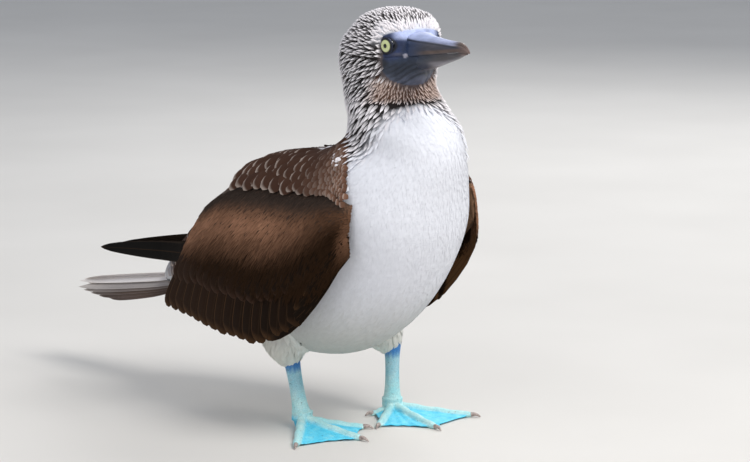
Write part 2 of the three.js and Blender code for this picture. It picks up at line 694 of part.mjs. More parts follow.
for (const [name, leg] of Object.entries(LEGS)) {
  add('thigh_' + name, thighSolid(leg).subtract(torsoRoom), MATERIALS.white);
  const foot = footSolid(leg);
  add('tarsus_' + name, tarsusSolid(leg), MATERIALS.blueSkin);
  add('foot_' + name, foot, MATERIALS.blueSkin);
  for (const toe of Object.keys(TOE_LENGTH)) add(`claw_${toe}_${name}`, clawSolid(leg, toe), MATERIALS.claw);
}

const reach = new THREE.Box3().setFromObject(bird);
const middle = reach.getCenter(point());
bird.position.set(-middle.x, -middle.y, 0);

export default bird;
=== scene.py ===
# A blue-footed booby standing still, life size: skin, plumage, bill, eyes and feet over its solid frame.
# Sizes and places are millimetres in the bird's own frame: it faces -Y, its left is +X, the floor is z = 0.
import logging
import math
from dataclasses import dataclass, field
from enum import Enum
from typing import Callable, Optional

import bmesh
import bpy
import numpy as np
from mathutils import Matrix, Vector
from mathutils.bvhtree import BVHTree


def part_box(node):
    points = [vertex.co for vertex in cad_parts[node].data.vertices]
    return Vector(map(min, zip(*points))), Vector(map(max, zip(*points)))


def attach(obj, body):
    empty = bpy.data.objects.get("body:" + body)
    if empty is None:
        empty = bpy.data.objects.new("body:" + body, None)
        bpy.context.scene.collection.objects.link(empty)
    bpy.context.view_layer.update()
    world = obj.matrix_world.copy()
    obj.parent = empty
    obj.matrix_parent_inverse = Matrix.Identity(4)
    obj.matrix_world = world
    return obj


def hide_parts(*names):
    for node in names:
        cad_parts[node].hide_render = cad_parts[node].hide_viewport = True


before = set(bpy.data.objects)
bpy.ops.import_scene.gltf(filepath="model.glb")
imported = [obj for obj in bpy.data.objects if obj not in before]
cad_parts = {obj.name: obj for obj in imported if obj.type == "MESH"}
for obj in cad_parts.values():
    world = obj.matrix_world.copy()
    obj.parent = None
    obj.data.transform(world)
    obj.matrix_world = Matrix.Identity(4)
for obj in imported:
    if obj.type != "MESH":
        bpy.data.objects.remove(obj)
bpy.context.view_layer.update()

log = logging.getLogger("booby")
Array = np.ndarray
Rng = np.random.Generator
BMesh = bmesh.types.BMesh
Mesh, Material, Object = bpy.types.Mesh, bpy.types.Material, bpy.types.Object
Node, NodeTree = bpy.types.Node, bpy.types.NodeTree
MM = 0.001
TURN = 2 * math.pi
BAKE_PATCH = 0.003  # width of a feather's patch in the OFBake map


# Small maths.

def linear(hex_colour: str) -> Array:
    """Turns an sRGB hex colour to linear.

    Args:
        hex_colour: Colour as "#rrggbb".

    Returns:
        Three linear values.
    """
    value = np.array([int(hex_colour[i:i + 2], 16) / 255 for i in (1, 3, 5)])
    return np.where(value <= 0.04045, value / 12.92, ((value + 0.055) / 1.055) ** 2.4)


def smoothstep(x: Array, low: float, high: float) -> Array:
    """Smooth step from 0 at low to 1 at high."""
    t = np.clip((x - low) / (high - low), 0, 1)
    return t * t * (3 - 2 * t)


def mix(a: Array, b: Array, t: Array) -> Array:
    """Blend of two sets of rows, t of b."""
    return a + (b - a) * np.asarray(t)[..., None]


def unit(v: Array) -> Array:
    """Rows scaled to length 1."""
    return v / np.maximum(np.linalg.norm(v, axis=-1, keepdims=True), 1e-9)


def blend_rows(rows: Array, places: Array) -> Array:
    """Catmull-Rom blend of a table's rows.

    Args:
        rows: Table of numbers.
        places: Row numbers, whole or in between.

    Returns:
        One blended row for each place.
    """
    rows = np.asarray(rows, float)
    last = len(rows) - 1
    i = np.clip(np.floor(places).astype(int), 0, last - 1)
    t = (places - i)[:, None]
    a, b, c, d = (rows[np.clip(i + k, 0, last)] for k in (-1, 0, 1, 2))
    v0, v1, rise = (c - a) / 2, (d - b) / 2, b - c
    return ((2 * rise + v0 + v1) * t + (-3 * rise - 2 * v0 - v1)) * t * t + v0 * t + b


def turned(points: Array, degrees: Array) -> Array:
    """Points turned about the vertical through the origin."""
    a = np.radians(degrees)
    x, y = points[..., 0], points[..., 1]
    return np.stack([x * np.cos(a) - y * np.sin(a), x * np.sin(a) + y * np.cos(a), points[..., 2]], -1)


def inside(outline: Array, x: Array, y: Array) -> Array:
    """Tells which places lie inside a closed outline.

    Args:
        outline: Its corners, as rows of x and y.
        x: Places along the first axis.
        y: Places along the second.

    Returns:
        True for the places inside.
    """
    hit = np.zeros(len(x), bool)
    for (x0, y0), (x1, y1) in zip(outline, np.roll(outline, -1, axis=0)):
        crosses = (y0 > y) != (y1 > y)
        at = x0 + (y - y0) * (x1 - x0) / (y1 - y0 if y1 != y0 else 1e-9)
        hit ^= crosses & (x < at)
    return hit


# Forms of the bird, shared by its skin and its feathers.

class Side(Enum):
    """Side of the bird, by the sign of X."""

    LEFT = 1
    RIGHT = -1

    @property
    def word(self) -> str:
        """Word used in node names."""
        return self.name.lower()


@dataclass(frozen=True)
class BodyForm:
    """Body from rump to crown, as sections through a point on the back and one on the belly."""

    # back y, back z, belly y, belly z, half width, taper towards the belly, turn in degrees
    stations: tuple = (
        (256, 129, 248, 102, 14, 0, 0),
        (228, 157, 216, 97, 29, 0, 0),
        (194, 191, 174, 89, 41, -0.02, 0),
        (150, 227, 116, 78, 55, -0.06, 0),
        (100, 254, 49, 68, 71, -0.12, 0),
        (57, 269, -16, 74, 80, -0.12, 0),
        (24, 276, -66, 101, 82, -0.06, 0),
        (4, 279, -106, 143, 82, 0, 0),
        (-8, 283, -133, 196, 80, 0, 0),
        (-17, 290, -143, 245, 70, 0.03, 0),
        (-23, 300, -149, 280, 56, 0.04, -3),
        (-22, 316, -143, 304, 53, 0, -8),
        (-18, 333, -123, 325, 49.5, 0, -12),
        (-13, 351, -112, 344, 46, 0.05, -15),
        (-11, 369, -113, 361, 47, 0.1, -16),
        (-15, 388, -119, 382, 47, 0.12, -16),
        (-27, 403, -118, 400, 42, 0.1, -16),
        (-37, 414, -110, 413, 33, 0.04, -16),
        (-56, 420.5, -94, 420, 17, 0, -16),
    )
    square: float = 0.86
    coat: tuple = (2.2, 3.4)  # depth of the plumage on the body, and on neck and head

    def depth(self, place: Array) -> Array:
        """Depth of the plumage over the skin."""
        return self.coat[0] + (self.coat[1] - self.coat[0]) * smoothstep(place, 9, 12)

    @property
    def last(self) -> int:
        """Number of the crown's station."""
        return len(self.stations) - 1

    def surface(self, place: Array, angle: Array, grow: Array = 0) -> Array:
        """Points of the outer form of the plumage.

        Args:
            place: Station numbers, up to 1 past the last for the crown's cap.
            angle: Angles round the body, 0 at the belly and breast.
            grow: Distance outwards.

        Returns:
            Points.
        """
        row = blend_rows(self.stations, np.minimum(place, self.last))
        back = np.stack([0 * place, row[:, 0], row[:, 1]], -1)
        front = np.stack([0 * place, row[:, 2], row[:, 3]], -1)
        reach = (front - back) / 2
        grow = np.broadcast_to(grow, place.shape)
        length = np.linalg.norm(reach, axis=1)
        reach = reach * ((length + grow) / np.maximum(length, 1e-6))[:, None]
        power = 1 + (self.square - 1) * smoothstep(place, 13, 15)
        along, aside = (np.sign(v) * np.abs(v) ** power for v in (np.cos(angle), np.sin(angle)))
        across = (row[:, 4] + grow) * aside * (1 - row[:, 5] * along)
        local = reach * along[:, None]
        local[:, 0] += across
        local = local * (1 - np.clip(place - self.last, 0, 1))[:, None]
        return turned(local, row[:, 6]) + (back + front) / 2


@dataclass(frozen=True)
class HeadForm:
    """The head's own frame, F forward, S to the bird's right and Z up, with its eyes, bill and bare face."""

    centre: tuple = (0, -69, 375)
    turn: float = -16
    eye_at: tuple = (32, 29, 15.2)
    eye_radius: float = 8.2
    eye_sunk: float = 0.55  # share of its radius that the eye's centre lies under the skin
    eye_look: float = 18  # degrees that the eyes look ahead
    bill_tip: float = 139
    bill_root: tuple = (44, 5.4)
    rise: float = 0.137
    droop: float = 0.007
    # Edge of the feathers round the bare face, from the side: f, z.
    edge: tuple = (
        (44.5, 32), (40, 30), (34, 28), (29, 25.5), (27, 21), (27.5, 12), (31, 4), (30, -4), (28.5, -8),
        (30, -13), (33, -19), (37, -22.5), (42, -24.5), (60, -30), (150, -30), (150, 60), (45, 60),
    )

    def point(self, f: Array, s: Array, z: Array) -> Array:
        """Places of the head's frame in the bird's frame."""
        local = np.stack(np.broadcast_arrays(-np.asarray(s, float), -np.asarray(f, float), z), -1)
        return turned(local, self.turn) + np.array(self.centre)

    def local(self, points: Array) -> tuple[Array, Array, Array]:
        """The head's f, s and z of points in the bird's frame."""
        p = turned(points - np.array(self.centre), -self.turn)
        return -p[..., 1], -p[..., 0], p[..., 2]

    def mouth(self, f: Array) -> Array:
        """Height of the mouth's line."""
        past = np.maximum(f - self.bill_tip + 16, 0)
        return self.bill_root[1] + self.rise * (f - self.bill_root[0]) - self.droop * past ** 2

    def past_edge(self, points: Array) -> Array:
        """How far points lie past the plumage's edge.

        Args:
            points: Places in the bird's frame.

        Returns:
            Distances, over 0 on the bare side.
        """
        f, _, z = self.local(points)
        edge = np.array(self.edge, float)
        seg = np.roll(edge, -1, axis=0) - edge
        at = np.stack([f, z], -1)[:, None] - edge[None]
        t = np.clip(np.sum(at * seg, 2) / np.sum(seg * seg, 1), 0, 1)
        away = np.linalg.norm(at - t[..., None] * seg, axis=2).min(1)
        return np.where(inside(edge, f, z), away, -away)

    def eye(self, side: Side) -> Array:
        """Centre of an eye."""
        f, s, z = self.eye_at
        return self.point(f, -side.value * (s - self.eye_radius * self.eye_sunk), z)

    def gaze(self, side: Side) -> Array:
        """Direction that an eye looks in."""
        a = math.radians(self.eye_look)
        return self.point(math.sin(a), -side.value * math.cos(a), 0) - self.point(0, 0, 0)


@dataclass(frozen=True)
class Folds:
    """Folds of the pouch, which slope from the bill's base down and back."""

    pitch: float = 4.4
    slope: float = 0.42

    def crease(self, f: Array, under: Array) -> Array:
        """How deep in a fold's crease places are, by f and distance under the mouth's line."""
        path = under + self.slope * (f - 30) + 0.9 * np.sin(f / 6.5)
        ridge = 0.5 + 0.5 * np.cos(TURN * path / self.pitch)
        return (1 - ridge) ** 2 * smoothstep(under, 4, 10) * smoothstep(f, 26, 40)


BODY = BodyForm()
HEAD = HeadForm()
FOLDS = Folds()
EYE_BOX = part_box("eye_right")
ORIGIN = np.array((EYE_BOX[0] + EYE_BOX[1]) / 2) - HEAD.eye(Side.RIGHT) * MM


def to_world(points: Array) -> Array:
    """Metres in the shared frame of points in the bird's frame."""
    return np.asarray(points) * MM + ORIGIN


# Markings, the same on skin and plumage.

@dataclass(frozen=True)
class Markings:
    """Colours of the plumage by place, with painted shade under the belly."""

    white: str = "#e6e8ef"
    # Painted shade: a grey-green that darkens the white under the belly.
    belly_shade: str = "#a8a698"
    tint: float = 0.8  # share of the painted belly shade at the bottom of the belly
    dark: str = "#191211"
    ruddy: str = "#765544"
    pale: str = "#f4eff2"
    mantle: str = "#483126"
    mantle_edge: str = "#c4b4a8"
    rust: str = "#7b5a49"

    def streaked(self, points: Array, wobble: Array) -> Array:
        """How streaked the plumage is, 0 white to 1 streaked, on head and neck."""
        f, s, _ = HEAD.local(points)
        z = points[:, 2]
        round_neck = np.degrees(np.arctan2(np.abs(s), f))
        edge = np.interp(z, (252, 265, 276, 291, 318, 329, 337), (185, 120, 82, 62, 47, 30, -20))
        return smoothstep(round_neck - edge + 14 * (wobble - 0.5), -16, 12)

    def forehead(self, points: Array) -> Array:
        """How pale the plumage over the bill and eyes is."""
        f, _, z = HEAD.local(points)
        return smoothstep(f, 15, 28) * smoothstep(-z, -40, -34) * smoothstep(z, 12, 24)

    def bib(self, points: Array) -> Array:
        """How ruddy the plumage under the pouch is."""
        f, _, z = HEAD.local(points)
        return smoothstep(f, 12, 28) * smoothstep(-z, 12, 19) * smoothstep(z, -41, -33)

    def back(self, points: Array, wobble: Array) -> Array:
        """How brown the plumage is, on mantle, scapulars and back."""
        x, y, z = np.abs(points[:, 0]), points[:, 1], points[:, 2]
        front = -86 + 1.1 * (87 - np.minimum(x, 87)) + 20 * (wobble - 0.5)
        low = np.interp(y, (-100, 60, 150, 240), (212, 190, 150, 128))
        return smoothstep(y - front, -6, 5) * smoothstep(z - low, -5, 8) * smoothstep(-z, -296, -282)

    def rump(self, points: Array) -> Array:
        """How white the lower back is."""
        return smoothstep(points[:, 1], 195, 232)

    def base(self, points: Array, wobble: Array) -> Array:
        """Colour at the feathers' roots, and of the skin under them.

        Args:
            points: Where they grow.
            wobble: A share for each, by which the markings' edges stray.

        Returns:
            Colours.
        """
        streak = self.streaked(points, wobble)
        light = self.forehead(points)
        dark = mix(linear(self.dark), linear(self.ruddy), 0.7 * self.bib(points))
        dark = mix(dark, linear("#5a5152"), 0.8 * smoothstep(HEAD.past_edge(points), -4.5, -1))
        # Painted shade: the white turns grey-green towards the underside.
        low = self.tint * smoothstep(-points[:, 2], -175, -75)
        colour = mix(np.broadcast_to(linear(self.white), points.shape), linear(self.belly_shade), low)
        colour = mix(colour, dark, streak * (1 - 0.85 * light))
        back = self.back(points, wobble)
        brown = mix(linear(self.mantle), linear(self.white), 0.75 * self.rump(points))
        return mix(colour, brown, back)

    def tip(self, points: Array, wobble: Array) -> Array:
        """Colour at the feathers' tips.

        Args:
            points: Where they grow.
            wobble: A share for each, by which the markings' edges stray.

        Returns:
            Colours.
        """
        streak = self.streaked(points, wobble)
        pale = mix(linear(self.pale), linear("#bf9f8b"), 0.75 * self.bib(points))
        colour = mix(np.broadcast_to(linear(self.white), points.shape), pale, streak)
        # Painted shade: the tips turn grey-green towards the underside.
        low = self.tint * smoothstep(-points[:, 2], -175, -75)
        colour = mix(colour, linear(self.belly_shade), low)
        rust = smoothstep(-points[:, 1], -5, 35) * wobble
        brown = mix(np.broadcast_to(linear(self.mantle), points.shape), linear(self.rust), rust)
        brown = mix(brown, linear(self.white), 0.6 * self.rump(points))
        return mix(colour, brown, self.back(points, wobble))


MARKINGS = Markings()


# Making meshes.

def wrapped(surface: Callable[[Array, Array], Array], sides: int, rows: int) -> BMesh:
    """Closed skin made from a grid wrapped over a surface.

    Args:
        surface: Gives points for shares u, round the form, and v, along it.
        sides: Faces round the form.
        rows: Faces along it.

    Returns:
        The closed mesh, in the surface's own frame.
    """
    bm = bmesh.new()
    bmesh.ops.create_grid(bm, x_segments=sides, y_segments=rows, size=0.5)
    uv = np.array([v.co[:2] for v in bm.verts]) + 0.5
    for vert, at in zip(bm.verts, surface(uv[:, 0], uv[:, 1])):
        vert.co = at
    bmesh.ops.remove_doubles(bm, verts=bm.verts, dist=1e-3)
    rim = [e for e in bm.edges if e.is_boundary]
    bmesh.ops.holes_fill(bm, edges=rim, sides=0)
    bmesh.ops.recalc_face_normals(bm, faces=bm.faces)
    return bm


def merged(parts: list[BMesh], name: str) -> Mesh:
    """One mesh of several.

    Args:
        parts: Meshes in the bird's frame, which are freed.
        name: Name of the new mesh.

    Returns:
        The mesh, in metres in the shared frame.
    """
    whole = bmesh.new()
    for part in parts:
        mesh = bpy.data.meshes.new(name)
        part.to_mesh(mesh)
        part.free()
        whole.from_mesh(mesh)
        bpy.data.meshes.remove(mesh)
    for vert in whole.verts:
        vert.co = to_world(np.array(vert.co))
    mesh = bpy.data.meshes.new(name)
    whole.to_mesh(mesh)
    whole.free()
    return mesh


def fused(mesh: Mesh, voxel: float, passes: int) -> Mesh:
    """One closed skin round a mesh's bodies.

    Args:
        mesh: Closed bodies that overlap, in metres.
        voxel: Size of the skin's faces in millimetres.
        passes: Passes of smoothing.

    Returns:
        The fused mesh.
    """
    holder = bpy.data.objects.new("fusing", mesh)
    bpy.context.scene.collection.objects.link(holder)
    remesh = holder.modifiers.new("skin", "REMESH")
    remesh.mode = "VOXEL"
    remesh.voxel_size = voxel * MM
    soften = holder.modifiers.new("soften", "SMOOTH")
    soften.factor = 0.5
    soften.iterations = passes
    graph = bpy.context.evaluated_depsgraph_get()
    result = bpy.data.meshes.new_from_object(holder.evaluated_get(graph))
    bpy.data.objects.remove(holder)
    bpy.data.meshes.remove(mesh)
    return result


def vertex_array(mesh: Mesh, normals: bool = False) -> Array:
    """A mesh's vertex places, or its vertex normals, as rows."""
    out = np.zeros(len(mesh.vertices) * 3, np.float32)
    if normals:
        mesh.vertex_normals.foreach_get("vector", out)
    else:
        mesh.vertices.foreach_get("co", out)
    return out.reshape(-1, 3).astype(float)


def bird_points(mesh: Mesh) -> Array:
    """A mesh's vertex places in the bird's frame."""
    return (vertex_array(mesh) - ORIGIN) / MM


def set_points(mesh: Mesh, points: Array) -> None:
    """Moves a mesh's vertices to places in the bird's frame."""
    mesh.vertices.foreach_set("co", to_world(points).astype(np.float32).ravel())


def tag(mesh: Mesh, name: str, values: Array) -> None:
    """Writes a number for each vertex."""
    layer = mesh.attributes.new(name, "FLOAT", "POINT")
    layer.data.foreach_set("value", np.asarray(values, np.float32))


def paint(mesh: Mesh, name: str, colours: Array) -> None:
    """Writes a linear colour for each vertex."""
    layer = mesh.color_attributes.new(name, "FLOAT_COLOR", "POINT")
    rgba = np.ones((len(colours), 4), np.float32)
    rgba[:, :3] = colours
    layer.data.foreach_set("color", rgba.ravel())


def piece(name: str, mesh: Mesh, material: Material, slot: str,
          replaces: tuple[str, ...] = (), sharp: Optional[float] = None) -> Object:
    """Adds a finished piece to the model.

    Args:
        name: Piece name.
        mesh: Its mesh, in metres in the shared frame.
        material: Its finish.
        slot: The record's material slot; not used.
        replaces: Solids that it stands for.
        sharp: Angle in degrees over which an edge stays sharp.

    Returns:
        The object.
    """
    mesh.name = name
    mesh.materials.clear()
    mesh.materials.append(material)
    mesh.shade_smooth()
    if sharp:
        mesh.set_sharp_from_angle(angle=math.radians(sharp))
    made = bpy.data.objects.new(name, mesh)
    bpy.context.scene.collection.objects.link(made)
    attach(made, "root")
    if replaces:
        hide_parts(*replaces)
    mesh.calc_loop_triangles()
    log.info("%s: %d triangles", name, len(mesh.loop_triangles))
    return made


# Feathers as thin solid vanes.

@dataclass
class Vanes:
    """Many feathers of one kind. Each has a curved line from root to tip, and is raised along its shaft."""

    line: Array  # feathers, stations, 3
    normal: Array  # feathers, stations, 3
    width: Array  # half width of each feather
    profile: tuple[float, ...]  # width at each station but the tip, as a share
    colour: Array  # feathers, stations, 3
    margin: Array  # feathers, 3: colour along the edge
    root_uv: Array  # feathers, 2: place on an unwrap of the skin
    camber: float = 0.25  # height of the shaft over the edges, as a share of the half width
    columns: int = 2
    roll: Optional[Array] = None  # turn about the shaft, in radians
    stops: Optional[Array] = None  # place of each station along a feather, even if not given

    def lie_smooth(self, mesh: Mesh) -> None:
        """Shades the feathers as one smooth coat, by the skin's normals under them."""
        rows = self.line.shape[1] - 1
        station = np.append(np.repeat(np.arange(rows), self.columns + 1), rows)
        mesh.normals_split_custom_set_from_vertices(self.normal[:, station].reshape(-1, 3).tolist())

    def mesh(self, name: str) -> Mesh:
        """Makes the feathers as one mesh.

        Args:
            name: Name of the mesh.

        Returns:
            The mesh in metres, with its Vane and OFBake maps and its colours.
        """
        count, stations = self.line.shape[:2]
        rows, wide = stations - 1, self.columns + 1
        stops = np.linspace(0, 1, stations) if self.stops is None else self.stops
        along = np.gradient(self.line, stops, axis=1)
        side = unit(np.cross(along, self.normal))
        up = unit(np.cross(side, along))
        if self.roll is not None:
            c, s = np.cos(self.roll)[:, None, None], np.sin(self.roll)[:, None, None]
            side, up = side * c + up * s, up * c - side * s
        across = np.linspace(-1, 1, wide)
        half = self.width[:, None] * np.array(self.profile)[None, :]
        body = self.line[:, :rows, None, :] + side[:, :rows, None, :] * (half[..., None] * across)[..., None]
        lift = self.camber * half[..., None] * (1 - across ** 2)
        body = body + up[:, :rows, None, :] * lift[..., None]
        points = np.concatenate([body.reshape(count, rows * wide, 3), self.line[:, rows:, :]], axis=1)
        per = rows * wide + 1
        u = np.append(np.tile(across / 2 + 0.5, rows), 0.5)
        v = np.append(np.repeat(stops[:rows], wide), 1.0)
        corners, totals = self.template(rows, wide)
        mesh = bpy.data.meshes.new(name)
        mesh.vertices.add(count * per)
        set_points(mesh, points.reshape(-1, 3))
        loops = (corners[None, :] + per * np.arange(count)[:, None]).ravel()
        mesh.loops.add(len(loops))
        mesh.loops.foreach_set("vertex_index", loops.astype(np.int32))
        starts = np.concatenate([[0], np.cumsum(np.tile(totals, count))[:-1]])
        mesh.polygons.add(len(starts))
        mesh.polygons.foreach_set("loop_start", starts.astype(np.int32))
        mesh.update(calc_edges=True)
        station = np.append(np.repeat(np.arange(rows), wide), rows)
        paint(mesh, "plumage", self.colour[:, station].reshape(-1, 3))
        paint(mesh, "margin", np.repeat(self.margin, per, axis=0))
        patch = np.stack([u, v], -1)
        bake = self.root_uv[:, None] + BAKE_PATCH * (patch[None] - 0.5)
        for title, values in (("Vane", np.tile(patch, (count, 1))), ("OFBake", bake.reshape(-1, 2))):
            layer = mesh.uv_layers.new(name=title)
            layer.data.foreach_set("uv", values[loops].astype(np.float32).ravel())
        return mesh

    @staticmethod
    def template(rows: int, wide: int) -> tuple[Array, Array]:
        """Corners and corner counts of one feather's faces."""
        tip = rows * wide
        faces = []
        for r in range(rows - 1):
            a = r * wide
            faces += [(a + c, a + c + 1, a + c + 1 + wide, a + c + wide) for c in range(wide - 1)]
            faces.append((a, a + wide, a + 2 * wide - 1, a + wide - 1))
        a = (rows - 1) * wide
        faces += [(a + c, a + c + 1, tip) for c in range(wide - 1)]
        faces.append((a, tip, a + wide - 1))
        faces.append(tuple(range(wide - 1, -1, -1)))
        return np.array([i for f in faces for i in f]), np.array([len(f) for f in faces])


class Lie:
    """Direction of the plumage over the bird, blended from listed places."""

    # Head, in its own frame: place f, s, z and direction f, s, z, the same on both sides.
    head = (
        ((44, 0, 36), (-1, 0, 0.5)), ((30, 26, 34), (-1, 0.1, 0.25)), ((10, 0, 46), (-1, 0, 0)),
        ((-20, 0, 40), (-1, 0, -0.5)), ((-45, 0, 15), (-0.5, 0, -1)), ((14, 42, 14), (-1, 0, 0)),
        ((-10, 45, 20), (-1, 0, -0.25)), ((14, 44, -8), (-1, 0, -0.5)), ((-20, 45, -5), (-0.8, 0, -0.8)),
        ((20, 40, -26), (-0.6, 0.1, -0.9)), ((40, 20, -32), (-0.35, 0.1, -1)), ((45, 0, -34), (-0.2, 0, -1)),
        ((-15, 48, -35), (-0.3, 0, -1)), ((-45, 0, -25), (-0.1, 0, -1)),
    )
    # Body: place x, y, z and direction, the same on both sides.
    body = (
        ((0, -135, 310), (0, -0.35, -1)), ((0, -148, 245), (0, 0.05, -1)), ((70, -100, 205), (0, 0.3, -1)),
        ((45, -110, 290), (0.1, 0.05, -1)), ((0, -128, 180), (0, 0.35, -1)), ((0, -60, 95), (0, 1, -0.55)),
        ((0, 50, 68), (0, 1, 0.05)), ((0, 170, 85), (0, 1, 0.2)), ((80, 0, 150), (0, 0.8, -0.6)),
        ((80, -60, 160), (0, 0.6, -0.9)), ((0, -18, 300), (0, 0.25, -1)), ((0, 0, 280), (0, 1, -0.6)),
        ((0, 60, 268), (0, 1, -0.2)), ((40, 60, 255), (0.25, 1, -0.35)), ((0, 130, 240), (0, 1, -0.6)),
        ((0, 210, 175), (0, 1, -0.9)), ((70, -60, 245), (0.2, 0.85, -0.5)), ((45, 30, 262), (0.25, 1, -0.35)),
        ((0, 245, 102), (0, 1, 0.1)), ((50, 30, 95), (0, 0.2, -1)), ((45, -20, 280), (0.3, 0.5, -1)),
    )

    def __init__(self) -> None:
        """Gathers the places on both sides of the bird."""
        places, ways = [], []
        for sign in (1, -1):
            for (f, s, z), (df, ds, dz) in self.head:
                places.append(HEAD.point(f, sign * s, z))
                ways.append(HEAD.point(df, sign * ds, dz) - HEAD.point(0, 0, 0))
            for (x, y, z), (dx, dy, dz) in self.body:
                places.append(np.array((sign * x, y, z), float))
                ways.append(np.array((sign * dx, dy, dz), float))
        self.places = np.array(places)
        self.ways = unit(np.array(ways))

    def at(self, points: Array) -> Array:
        """Direction at points."""
        away = np.linalg.norm(points[:, None] - self.places[None], axis=2)
        weight = 1 / (away ** 4 + 1)
        return unit(weight @ self.ways)


@dataclass
class Patch:
    """Size and set of the feathers of one kind."""

    length: tuple[float, float]
    width: float
    spacing: float
    profile: tuple[float, ...] = (0.6, 1.0, 0.9)
    height: tuple[float, float] = (-0.6, 2.6)  # over the skin, at root and tip
    camber: float = 0.3
    columns: int = 2
    spread: float = 0.12  # how far a feather's direction strays
    roll: float = 0.12
    pale_from: tuple[float, float] = (0.05, 0.5)  # stretch where the root's colour turns to the tip's
    margin: Optional[str] = None
    variety: tuple[float, float] = (0.88, 1.06)  # of the feathers' lightness
    uneven: float = 0.25  # how far their heights stray
    smooth: bool = False  # shaded as one smooth coat

    @property
    def stops(self) -> Array:
        """Place of each station, closer together towards a round tip."""
        even = np.linspace(0, 1, len(self.profile) + 1)
        return 1 - (1 - even) ** (1.5 if len(self.profile) > 4 else 1)


